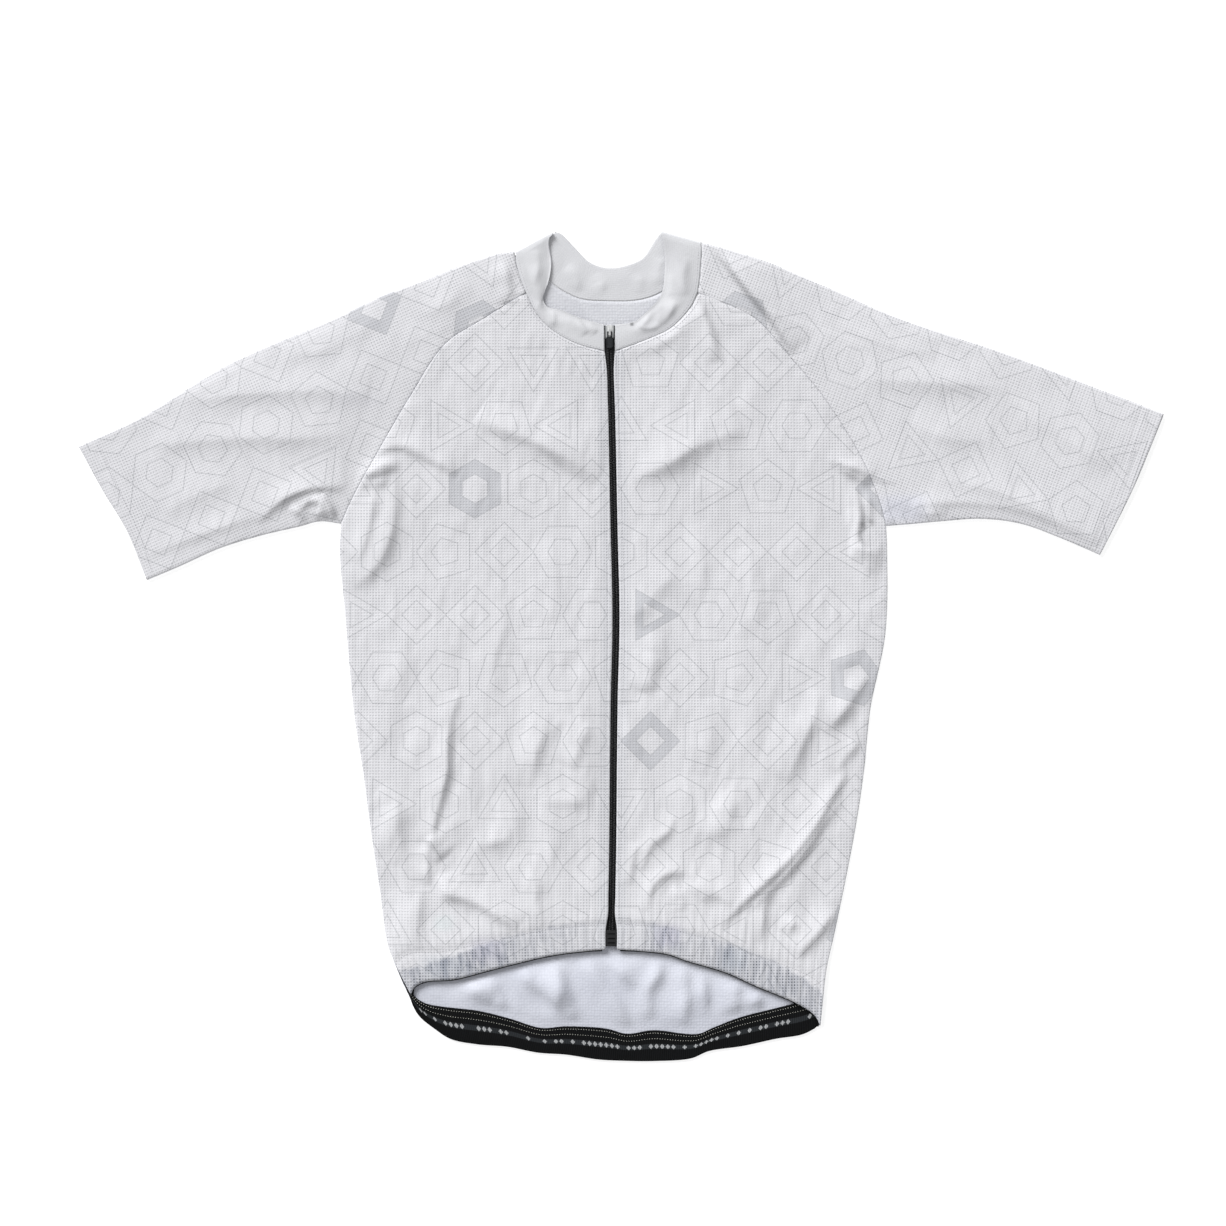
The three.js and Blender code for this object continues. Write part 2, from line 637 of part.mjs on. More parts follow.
// Sleeves: flattened tubes from the seams round the arm to the cuff
function addSleeve(
  name,
  neckSideRows,
  raglanRows,
  neckBackSideRows,
  raglanBackRows,
  topRows,
  footRows,
  cuffRows,
) {
  const lengthwise = steps(15)
  const headRun = [...raglanRows].reverse()
  const headFront = runOf(neckSideRows, headRun)
  const headBack = runOf(neckBackSideRows, [...raglanBackRows].reverse())
  const top = runOf(topRows)
  const foot = runOf(footRows)
  const cuff = runOf(cuffRows)
  const front = fourSided(headFront, cuff, top, foot)
  const back = fourSided(headBack, cuff, top, foot)
  const corner = stretchShare(headFront)
  const backCorner = stretchShare(headBack)
  const shares = [...steps(shoulderCells, 0, corner), ...steps(raglanCells, corner, 1).slice(1)]
  const backShares = [...steps(shoulderCells, 0, backCorner), ...steps(raglanCells, backCorner, 1).slice(1)]
  const topLine = lengthwise.map((along) => top.getPoint(along))
  const footLine = lengthwise.map((along) => foot.getPoint(along))
  const topFold = foldTurn(topLine, footLine, backRest, cloth)
  const footFold = foldTurn(footLine, topLine, backRest, cloth)
  const frontLines = shares.slice(1, -1).map((across) =>
    lengthwise.map((along) => {
      const at = patchPoint(front, across, along)
      const middle = Math.sin(Math.PI * across)
      const puff = 0.9 * middle * Math.sin(Math.PI * Math.min(along * 1.6, 1))
      const away = THREE.MathUtils.smoothstep(along, 0, 0.12)
      at.z += cloth / 2 + puff + foldHeight(at.x, at.y) * away * middle
      return { at, out: up.clone() }
    }),
  )
  const backLines = backShares.slice(1, -1).map((across) =>
    lengthwise.map((along) => {
      const at = patchPoint(back, across, along)
      return { at: at.setZ(backRest), out: down.clone() }
    }),
  )
  const lines = [
    topFold.upper,
    ...frontLines,
    footFold.upper,
    ...footFold.turn,
    footFold.lower,
    ...backLines.reverse(),
    topFold.lower,
    ...topFold.turn.reverse(),
  ]
  const headLine = lines.map((line) => line[0])
  const nextLine = lines.map((line) => line[1])
  applyShifts(headLine, edgeShifts(headLine, nextLine, seamGap / 2))
  wallMesh(name, lines, cloth, lightKnit, true)
}

addSleeve(
  'sleeve_left',
  neckSideLeftRows,
  raglanLeftRows,
  neckBackLeftRows,
  raglanBackLeftRows,
  sleeveTopLeftRows,
  sleeveFootLeftRows,
  cuffLeftRows,
)
addSleeve(
  'sleeve_right',
  neckSideRightRows,
  raglanRightRows,
  neckBackRightRows.slice().reverse(),
  raglanBackRightRows,
  sleeveTopRightRows,
  sleeveFootRightRows,
  cuffRightRows,
)

// Layer of a folded strip: lines across it from its lower to its upper edge
function stripLayer(foot, head, shares, cells, height, out) {
  return shares.map((share) => {
    const low = foot.getPoint(share)
    const high = head.getPoint(share)
    return steps(cells).map((across) => {
      const at = low.clone().lerp(high, across)
      at.z = height ?? at.z + cloth / 2
      return { at, out: out.clone() }
    })
  })
}

// Line of points up a fold, from the lower to the upper edge of a strip
function foldLineOf(low, high, cells) {
  return steps(cells).map((across) => low.clone().lerp(high, across))
}

// Collar: one strip standing round the neck, folded flat at both shoulders
function addCollar() {
  const cells = 2
  const zipEnds = [-1, 1].map((side) => zipEdge(side)[zipRows.length - 1])
  const footLeft = runOf(neckSideLeftRows, [...neckFrontLeftRows, zipEnds[0]])
  const footRight = runOf(neckSideRightRows, [...neckFrontRightRows, zipEnds[1]])
  const footBack = runOf(neckBackLeftRows, neckBackRows, neckBackRightRows)
  const frontShares = (foot) => {
    const corner = stretchShare(foot)
    return [...steps(shoulderCells, 0, corner).slice(1), ...steps(neckFrontCells, corner, 1).slice(1)]
  }
  const backEnds = footBack.getCurveLengths().map((length, _, lengths) => length / lengths[2])
  const backShares = [
    ...steps(shoulderCells, 0, backEnds[0]).slice(1),
    ...steps(neckBackCells, backEnds[0], backEnds[1]).slice(1),
    ...steps(shoulderCells, backEnds[1], 1).slice(1, -1),
  ]
  const frontLeft = stripLayer(footLeft, runOf(collarTopLeftRows), frontShares(footLeft), cells, null, up)
  const topRight = runOf(collarTopRightRows)
  const frontRight = stripLayer(footRight, topRight, frontShares(footRight), cells, null, up)
  const back = stripLayer(footBack, runOf(collarTopBackRows), backShares, cells, backRest, down)
  const foldAt = (footRun, topRows, inside) => {
    const line = foldLineOf(footRun.getPoint(0), runOf(topRows).getPoint(0), cells)
    return foldTurn(line, line.map(() => inside), backRest, cloth)
  }
  const middle = new THREE.Vector3(-12, 300, 0)
  const leftFold = foldAt(footLeft, collarTopLeftRows, middle)
  const rightFold = foldAt(footRight, collarTopRightRows, middle)
  const lines = [
    ...frontLeft.reverse(),
    leftFold.upper,
    ...leftFold.turn,
    leftFold.lower,
    ...back,
    rightFold.lower,
    ...rightFold.turn.reverse(),
    rightFold.upper,
    ...frontRight,
  ]
  const footLine = lines.map((line) => line[0])
  const nextLine = lines.map((line) => line[1])
  applyShifts(footLine, edgeShifts(footLine, nextLine, seamGap / 2))
  wallMesh('collar', lines, cloth, collarKnit)
}

addCollar()

// Gripper band: one elastic strip inside the hem, from the zip round the back
function addBand() {
  const bandFront = (hemRows, edge) => {
    const foot = hemRows.slice(1).map((row) => ({ x: row.x, y: row.y - elasticShows, lift: 0 }))
    foot.push({ x: edge, y: -270.9, lift: 0 })
    const head = foot.map((row) => ({ x: row.x, y: row.y + elasticTall, lift: 0 }))
    return { foot, head }
  }
  const left = bandFront(hemLeftRows, -17)
  const right = bandFront(hemRightRows, -1)
  const leftFoot = [bandFootRows[0], ...left.foot]
  const leftHead = [bandTopRows[0], { x: -180, y: -276, lift: 0 }, ...left.head.slice(2)]
  const rightFoot = [bandFootRows[17], ...right.foot]
  const rightHead = [bandTopRows[17], { x: 160, y: -298, lift: 0 }, ...right.head.slice(2)]
  const layer = (foot, head, shares, height, out) => {
    return stripLayer(runOf(foot), runOf(head), shares, 1, height, out)
  }
  const foldAt = (foot, head, inside) => {
    const line = foldLineOf(
      new THREE.Vector3(foot.x, foot.y, elasticFront - elasticWall / 2),
      new THREE.Vector3(head.x, head.y, elasticFront - elasticWall / 2),
      1,
    )
    return foldTurn(line, line.map(() => inside), elasticBack, elasticWall)
  }
  const middle = new THREE.Vector3(0, -320, 0)
  const leftFold = foldAt(bandFootRows[0], bandTopRows[0], middle)
  const rightFold = foldAt(bandFootRows[17], bandTopRows[17], middle)
  const lines = [
    ...layer(leftFoot, leftHead, steps(10).slice(1), elasticFront, up).reverse(),
    leftFold.upper,
    ...leftFold.turn,
    leftFold.lower,
    ...layer(bandFootRows, bandTopRows, steps(34).slice(1, -1), elasticBack, down),
    rightFold.lower,
    ...rightFold.turn.reverse(),
    rightFold.upper,
    ...layer(rightFoot, rightHead, steps(10).slice(1), elasticFront, up),
  ]
  wallMesh('hem_gripper', lines, elasticWall, blackElastic)
}

addBand()

// Zip tapes: a flat tape under the edge of each front, with one row of coil;
// part spreads the two rows where they leave the slider
const tapeRows = [
  { y: zipFoot, part: 0 },
  { y: -238, part: 0 },
  { y: -222, part: 0 },
  { y: -176, part: 0 },
  { y: -112, part: 0 },
  { y: -48, part: 0 },
  { y: 0, part: 0 },
  { y: 30, part: 0 },
  { y: 62, part: 0 },
  { y: 100, part: 0 },
  { y: 160, part: 0 },
  { y: 219, part: 0 },
  { y: 232, part: 0 },
  { y: 245, part: 0 },
  { y: 262.5, part: 0 },
  { y: 273, part: 0 },
  { y: 279.5, part: 0.5 },
  { y: zipTop, part: 1.2 },
]

function addTape(name, side) {
  const profile = [
    { off: seamGap / 2, high: 0 },
    { off: tapeWide, high: 0 },
    { off: tapeWide, high: tapeWall },
    { off: coilWide, high: tapeWall },
    { off: coilWide, high: coilTall },
    { off: seamGap / 2, high: coilTall },
  ]
  const positions = []
  for (const row of tapeRows) {
    const middle = zipValue(row.y, 'x')
    const low = Math.max(zipValue(row.y, 'lift') - tapeWall - seamGap, 1.5)
    for (const point of profile) {
      positions.push(middle + side * (point.off + row.part), row.y, low + point.high)
    }
  }
  const count = profile.length
  const triangles = []
  for (let row = 0; row < tapeRows.length - 1; row += 1) {
    for (let point = 0; point < count; point += 1) {
      const a = row * count + point
      const b = row * count + ((point + 1) % count)
      triangles.push([a, b, b + count], [a, b + count, a + count])
    }
  }
  const end = (tapeRows.length - 1) * count
  const caps = [
    [0, 3, 1],
    [1, 3, 2],
    [0, 5, 3],
    [3, 5, 4],
  ]
  for (const [a, b, c] of caps) {
    triangles.push([a, b, c], [a + end, c + end, b + end])
  }
  solidMesh(name, positions, triangles, blackTape)
}

addTape('zip_tape_left', -1)
addTape('zip_tape_right', 1)

// Rounded plate lying flat, its middle at x and y, from one height to another
function plate(wide, long, radius, low, high, x, y) {
  const halfWide = wide / 2
  const halfLong = long / 2
  const outline = new THREE.Shape()
  outline.moveTo(-halfWide + radius, -halfLong)
  outline.lineTo(halfWide - radius, -halfLong)
  outline.absarc(halfWide - radius, -halfLong + radius, radius, -Math.PI / 2, 0)
  outline.absarc(halfWide - radius, halfLong - radius, radius, 0, Math.PI / 2)
  outline.absarc(-halfWide + radius, halfLong - radius, radius, Math.PI / 2, Math.PI)
  outline.absarc(-halfWide + radius, -halfLong + radius, radius, Math.PI, Math.PI * 1.5)
  const settings = { depth: high - low, bevelEnabled: false, curveSegments: 4 }
  const solid = new THREE.ExtrudeGeometry(outline, settings)
  return solid.translate(x, y, low)
}

function box(wide, long, low, high, x, y) {
  return new THREE.BoxGeometry(wide, long, high - low).translate(x, y, (low + high) / 2)
}

function toSolid(geometry) {
  const bare = geometry.clone()
  bare.deleteAttribute('normal')
  bare.deleteAttribute('uv')
  const merged = mergeVertices(bare, 1e-4)
  return new wasm.Manifold(
    new wasm.Mesh({
      numProp: 3,
      vertProperties: new Float32Array(merged.attributes.position.array),
      triVerts: new Uint32Array(merged.index.array),
    }),
  )
}

function fromSolid(solid) {
  const shape = solid.getMesh()
  const geometry = new THREE.BufferGeometry()
  geometry.setAttribute('position', new THREE.Float32BufferAttribute(shape.vertProperties, 3))
  geometry.setIndex(Array.from(shape.triVerts))
  geometry.computeVertexNormals()
  return geometry
}

// Slider: upper and lower wings joined by a post between the rows of coil,
// side flanges, and a bridge on top that holds the pull
const wingLow = 6.6
const wingTop = 7.6
const bridgeTop = 10.2
const pivotHigh = 8.4
const zipAtSlider = zipValue(sliderAt, 'x')

function addSlider() {
  const x = zipAtSlider
  const parts = [
    plate(8.5, 12.4, 2.4, wingLow, wingTop, x, sliderAt),
    plate(6.6, 12.4, 2.2, 2.3, 3.5, x, sliderAt),
    box(0.8, 3.2, 3.2, wingLow + 0.2, x, 282.6),
    box(0.6, 5.2, 5.1, wingLow + 0.2, x - 3.95, 276.4),
    box(0.6, 5.2, 5.1, wingLow + 0.2, x + 3.95, 276.4),
    plate(1.6, 6.4, 0.7, wingTop - 0.2, bridgeTop, x, sliderAt),
  ]
  const whole = parts.map(toSolid).reduce((sum, part) => sum.add(part))
  const window = toSolid(box(3, 3, wingTop, bridgeTop - 1, x, sliderAt))
  addMesh('zip_slider', fromSolid(whole.subtract(window)), brightMetal)
}

addSlider()

// Pull: a flat tab with an eye at its head that passes under the bridge
function addPull() {
  const outline = new THREE.Shape()
  outline.moveTo(-2.2, 0.5)
  outline.lineTo(-2.2, -3.9)
  outline.lineTo(-3.2, -5.9)
  outline.lineTo(-3.2, -12.2)
  outline.quadraticCurveTo(-3.2, -14.2, 0, -14.2)
  outline.quadraticCurveTo(3.2, -14.2, 3.2, -12.2)
  outline.lineTo(3.2, -5.9)
  outline.lineTo(2.2, -3.9)
  outline.lineTo(2.2, 0.5)
  const eye = new THREE.Path()
  eye.moveTo(-1.2, -0.5)
  eye.lineTo(-1.2, -4.1)
  eye.lineTo(1.2, -4.1)
  eye.lineTo(1.2, -0.5)
  outline.holes.push(eye)
  const tab = new THREE.ExtrudeGeometry(outline, { depth: 1, bevelEnabled: false, curveSegments: 5 })
  tab.translate(zipAtSlider, sliderAt, pivotHigh - 0.5)
  addMesh('zip_pull', tab, darkMetal)
}

addPull()

// Bottom stop: a moulded block over the foot of both rows of coil
addMesh('zip_bottom_stop', plate(9.3, 14.2, 1.6, 4.3, 5.7, -8.85, -259.4), blackTape)

export default jersey
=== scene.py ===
# Short sleeved zip-front riding jersey, laid flat on a pale table with its front up.
# All tables are in millimetres, in the frame of the solids: x right, y up to the collar, z off the table.
import math

import bmesh
import bpy
import numpy as np
from mathutils import Matrix, Vector


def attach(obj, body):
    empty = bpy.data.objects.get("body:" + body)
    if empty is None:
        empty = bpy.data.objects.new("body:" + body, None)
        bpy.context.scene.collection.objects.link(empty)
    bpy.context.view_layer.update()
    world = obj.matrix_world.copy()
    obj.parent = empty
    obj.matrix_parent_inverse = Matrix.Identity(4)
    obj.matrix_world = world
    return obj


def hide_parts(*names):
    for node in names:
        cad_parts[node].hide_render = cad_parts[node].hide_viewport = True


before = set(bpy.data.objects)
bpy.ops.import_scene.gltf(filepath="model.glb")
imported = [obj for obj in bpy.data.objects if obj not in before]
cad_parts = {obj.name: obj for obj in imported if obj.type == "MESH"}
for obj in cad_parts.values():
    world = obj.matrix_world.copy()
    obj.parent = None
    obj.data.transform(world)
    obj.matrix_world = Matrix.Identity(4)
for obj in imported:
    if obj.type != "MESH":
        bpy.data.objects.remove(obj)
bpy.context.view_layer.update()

mm = 0.001
clothWall = 1.2  # wall of the solids' cloth
shellWall = 0.7  # wall of the shells, centred in the solids' wall
backRest = 0.6  # middle of the lower layer

studio = {
    "cameraHigh": 3.0,
    "sensor": 36,
    "fieldWide": 1.0911,  # width of the view on the table
    "centreX": -0.0073,
    "centreY": 0.0296,
    "skyLight": 0.45,
    "keyLight": 3.3,
    "keyTilt": 57,  # from straight down, in degrees
    "keyFrom": 125,  # plan angle the key comes from, degrees from +x
    "keySoft": 34,
    "tableHalf": 4.0,
    "tableBelow": 0.0004,  # keeps the table clear of the cloth
    "tableGlow": 0.74,  # lifts the table nearly to white
}


def toLinear(hexColour):
    parts = [int(hexColour[k : k + 2], 16) / 255 for k in (1, 3, 5)]
    return [c / 12.92 if c <= 0.04045 else ((c + 0.055) / 1.055) ** 2.4 for c in parts] + [1]


def addNode(tree, kind, inputs=None, **settings):
    made = tree.nodes.new(kind)
    for name, value in settings.items():
        setattr(made, name, value)
    for socket, value in (inputs or {}).items():
        if isinstance(value, bpy.types.NodeSocket):
            tree.links.new(value, made.inputs[socket])
        else:
            made.inputs[socket].default_value = value
    return made


def newMaterial(name):
    material = bpy.data.materials.new(name)
    material.use_nodes = True
    material.node_tree.nodes.clear()
    return material, material.node_tree


def finishMaterial(tree, colour, roughness, bump=None, bumpDeep=0.0002, **fixed):
    inputs = {"Base Color": colour, "Roughness": roughness}
    inputs.update({name.replace("_", " "): value for name, value in fixed.items()})
    if bump is not None:
        bumped = addNode(tree, "ShaderNodeBump", {"Height": bump, "Strength": 1.0, "Distance": bumpDeep})
        inputs["Normal"] = bumped.outputs[0]
    surface = addNode(tree, "ShaderNodeBsdfPrincipled", inputs)
    addNode(tree, "ShaderNodeOutputMaterial", {"Surface": surface.outputs[0]})


def toObject(name, data):
    made = bpy.data.objects.new(name, data)
    bpy.context.scene.collection.objects.link(made)
    return made


def toMesh(name, shape, *materials):
    mesh = bpy.data.meshes.new(name)
    shape.to_mesh(mesh)
    shape.free()
    for material in materials:
        mesh.materials.append(material)
    return mesh


def seat(piece, node=None, body="jersey"):
    # a piece rides a body and may stand for a solid
    if node:
        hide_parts(node)
    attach(piece, body)


def makeStudio():
    camera = toObject("camera", bpy.data.cameras.new("camera"))
    camera.location = (studio["centreX"], studio["centreY"], studio["cameraHigh"])
    camera.data.sensor_width = studio["sensor"]
    camera.data.lens = studio["sensor"] * studio["cameraHigh"] / studio["fieldWide"]
    bpy.context.scene.camera = camera
    bpy.context.scene.view_settings.view_transform = "Standard"

    world = bpy.data.worlds.new("studioSky")
    world.use_nodes = True
    backdrop = world.node_tree.nodes["Background"]
    backdrop.inputs["Color"].default_value = (1, 1, 1, 1)
    backdrop.inputs["Strength"].default_value = studio["skyLight"]
    bpy.context.scene.world = world

    key = toObject("keyLight", bpy.data.lights.new("keyLight", "SUN"))
    key.data.energy = studio["keyLight"]
    key.data.angle = math.radians(studio["keySoft"])
    key.rotation_euler = (math.radians(studio["keyTilt"]), 0, math.radians(studio["keyFrom"] + 90))

    # white lacquered board: matt and even, with a faint grain, lit nearly to white
    material, tree = newMaterial("whiteLacqueredBoard")
    spot = addNode(tree, "ShaderNodeTexCoord").outputs["Object"]
    grain = addNode(tree, "ShaderNodeTexNoise", {"Vector": spot, "Scale": 3.0, "Detail": 2.0})
    tones = {0: grain.outputs[0], 6: toLinear("#B4B4B4"), 7: toLinear("#B8B8B8")}
    tone = addNode(tree, "ShaderNodeMix", tones, data_type="RGBA")
    glow = addNode(tree, "ShaderNodeEmission", {"Color": (1, 1, 1, 1), "Strength": studio["tableGlow"]})
    matt = addNode(tree, "ShaderNodeBsdfDiffuse", {"Color": tone.outputs[2]})
    both = addNode(tree, "ShaderNodeAddShader", {0: glow.outputs[0], 1: matt.outputs[0]})
    addNode(tree, "ShaderNodeOutputMaterial", {"Surface": both.outputs[0]})
    shape = bmesh.new()
    bmesh.ops.create_grid(shape, x_segments=4, y_segments=4, size=studio["tableHalf"])
    bmesh.ops.translate(shape, verts=shape.verts, vec=(0, 0, -studio["tableBelow"]))
    toObject("table", toMesh("table", shape, material))
    print("studio ready")


makeStudio()

# zip line: y, x of its middle, underside of the cloth beside it, half opening
zipRows = [
    (-269.4, -8.9, 1.5, 5.0),
    (-252, -8.8, 1.6, 5.0),
    (-238, -8.6, 2.1, 3.05),
    (-222, -8.3, 2.95, 3.05),
    (-176, -7.5, 2.95, 3.05),
    (-48, -6.2, 2.95, 3.05),
    (23, -4.6, 2.95, 3.05),
    (100, -6.2, 2.95, 3.05),
    (206, -8.4, 2.95, 3.05),
    (219, -8.8, 3.0, 3.05),
    (245, -9.6, 4.3, 3.05),
    (262.5, -10.3, 5.1, 4.6),
]

# every other seam or edge: x, y, underside of the upper layer there
seams = {
    "sideLeft": [
        (-187, -309.5, 1.5), (-198.7, -286.4, 1.5), (-207.6, -264, 1.5), (-214.7, -217, 1.5),
        (-222.7, -163.5, 1.5), (-229.8, -110, 1.5), (-237.9, -56.7, 1.5), (-245.5, 28, 1.5),
        (-250.3, 86, 1.6), (-249, 109, 1.8),
    ],
    "sideRight": [
        (177, -337, 1.5), (179.5, -311.3, 1.5), (182.2, -288, 1.5), (190.2, -252.5, 1.5),
        (208, -163.5, 1.5), (216, -110, 1.5), (221.4, -56.7, 1.5), (235, 12, 1.5),
        (236.5, 84, 1.6), (235.6, 107, 1.8),
    ],
    "raglanLeft": [
        (-249, 109, 1.8), (-239.8, 130, 2.2), (-219.2, 167.5, 2.6), (-187.1, 222.7, 3.2),
        (-156, 269, 3.8), (-124.8, 289.5, 4.2), (-84.5, 314.5, 4.5),
    ],
    "raglanRight": [
        (235.6, 107, 1.8), (230.3, 128, 2.2), (214.3, 166.7, 2.6), (182.2, 218.3, 3.2),
        (153.8, 253, 3.6), (119, 291.3, 4.2), (96.8, 302.8, 4.4), (68, 314.5, 4.5),
    ],
    "hemLeft": [
        (-187, -309.5, 1.5), (-183.6, -303, 1.5), (-173.8, -297.9, 1.5), (-149, -296, 1.5),
        (-119.5, -288.6, 1.5), (-91.9, -281.5, 1.5), (-62.5, -274.8, 1.5), (-30, -270.6, 1.5),
    ],
    "hemRight": [
        (177, -337, 1.5), (171.5, -327.5, 1.5), (156.4, -317.5, 1.5), (119, -301.5, 1.5),
        (93.2, -289.9, 1.5), (57.6, -279.2, 1.5), (41.6, -273.6, 1.5), (19.4, -270.8, 1.5),
    ],
    "neckSideLeft": [(-94.6, 350.9, 4.5), (-92.8, 339.3, 4.5), (-90.1, 329.5, 4.5), (-84.5, 314.5, 4.5)],
    "neckFrontLeft": [
        (-84.5, 314.5, 4.5), (-76.3, 298, 4.6), (-67, 286.2, 4.8), (-53.6, 276.1, 5.0),
        (-36.7, 268.1, 5.1),
    ],
    "neckSideRight": [(71.9, 359.3, 4.5), (71, 343.8, 4.5), (69.8, 328, 4.5), (68, 314.5, 4.5)],
    "neckFrontRight": [
        (68, 314.5, 4.5), (63, 303.5, 4.6), (54.1, 292.1, 4.7), (42.5, 281.8, 4.9),
        (25.6, 273.9, 5.1), (8.7, 267.5, 5.1),
    ],
    "neckBackLeft": [(-94.6, 350.9, 0), (-86, 340.6, 0), (-76.8, 332.2, 0)],
    "neckBack": [
        (-76.8, 332.2, 0), (-63.9, 324.6, 0), (-53.6, 317.1, 0), (-35.8, 309.1, 0),
        (-13.6, 307.3, 0), (15.8, 308.2, 0), (36.3, 315.4, 0), (55, 332, 0),
    ],
    "neckBackRight": [(55, 332, 0), (64, 344.6, 0), (71.9, 359.3, 0)],
    "collarTopLeft": [
        (-61.6, 368.7, 4.5), (-64.3, 359, 4.5), (-62, 340.2, 4.6), (-64.4, 325.1, 4.8),
        (-69.6, 309.5, 5.1), (-65.5, 301.8, 5.1), (-53.6, 298.8, 5.1), (-37.6, 292.1, 5.1),
        (-15.1, 285.6, 5.1),
    ],
    "collarTopBack": [
        (-61.6, 368.7, 0), (-54.5, 367.4, 0), (-42, 355.3, 0), (-28.7, 342, 0), (-13.6, 336.7, 0),
        (3.3, 338.4, 0), (19.4, 345.5, 0), (29.1, 359.8, 0), (35.4, 369, 0),
    ],
    "collarTopRight": [
        (35.4, 369, 4.5), (38.9, 347, 4.5), (38.5, 331.3, 4.6), (37.2, 318, 4.8),
        (33.6, 309, 5.0), (25.6, 300.2, 5.1), (12.2, 288.8, 5.1), (-5.5, 285.6, 5.1),
    ],
    "sleeveTopLeft": [
        (-94.6, 350.9, 4.5), (-108, 350, 4.4), (-143.5, 338.4, 4.0), (-179.1, 324.2, 3.6),
        (-214.7, 310.8, 3.4), (-250.3, 293.6, 3.4), (-321.5, 263.7, 3.4), (-357.1, 246.8, 3.3),
        (-428.3, 203.1, 3.2), (-482.5, 178.2, 3.2),
    ],
    "sleeveFootLeft": [
        (-249, 109, 1.8), (-268.1, 111, 2.6), (-285.9, 106.5, 3.0), (-321.5, 98.1, 3.2),
        (-357.1, 87, 3.2), (-392.7, 71, 3.2), (-421.6, 58.8, 3.2),
    ],
    "sleeveTopRight": [
        (71.9, 359.3, 4.5), (95.9, 352.7, 4.3), (132.4, 341.1, 4.0), (159.1, 329.5, 3.6),
        (194.7, 314.4, 3.4), (230.3, 298.4, 3.4), (265.9, 285, 3.4), (337.1, 261.9, 3.4),
        (408.3, 235.2, 3.3), (443.9, 221.8, 3.2), (482.5, 206.7, 3.2),
    ],
    "sleeveFootRight": [
        (235.6, 107, 1.8), (256, 108.5, 2.6), (283.7, 111, 3.0), (319.3, 113.3, 3.2),
        (354.9, 109, 3.2), (390.5, 96.3, 3.2), (425.6, 81.2, 3.2),
    ],
    "cuffLeft": [(-482.5, 178.2, 3.2), (-461.2, 139.1, 3.6), (-439.9, 103.5, 3.6), (-421.6, 58.8, 3.2)],
    "cuffRight": [(482.5, 206.7, 3.2), (469.6, 174.7, 3.6), (454.5, 139.1, 3.6), (425.6, 81.2, 3.2)],
    "bandTop": [
        (-198.2, -287.4, 0), (-191, -300, 0), (-183.6, -311.5, 0), (-173.8, -317.6, 0),
        (-158.2, -320.6, 0), (-127.5, -324.2, 0), (-99.9, -330.9, 0), (-71.4, -339.4, 0),
        (-49.2, -338, 0), (-13.6, -340, 0), (5.1, -344.6, 0), (28.3, -341.5, 0),
        (67.9, -344.8, 0), (82.5, -338.9, 0), (105.7, -330, 0), (133.3, -322.9, 0),
        (154.6, -317.5, 0), (178.6, -311.3, 0),
    ],
    "bandFoot": [
        (-186, -311.5, 0), (-184.8, -320, 0), (-179.5, -329, 0), (-166.5, -339.8, 0),
        (-151.5, -349.3, 0), (-128, -354, 0), (-101, -356.2, 0), (-74, -361.4, 0),
        (-49, -363.2, 0), (-20, -367.5, 0), (2, -368.6, 0), (28.3, -368.9, 0),
        (62, -366.5, 0), (78, -360, 0), (108, -355.5, 0), (138, -349, 0),
        (161, -345.2, 0), (175.6, -338, 0),
    ],
}

# the back raglan seams leave the front ones near the shoulder
seams["raglanBackLeft"] = seams["raglanLeft"][:5] + [(-116, 300, 0), (-76.8, 332.2, 0)]
seams["raglanBackRight"] = seams["raglanRight"][:5] + [(112, 294, 0), (55, 332, 0)]

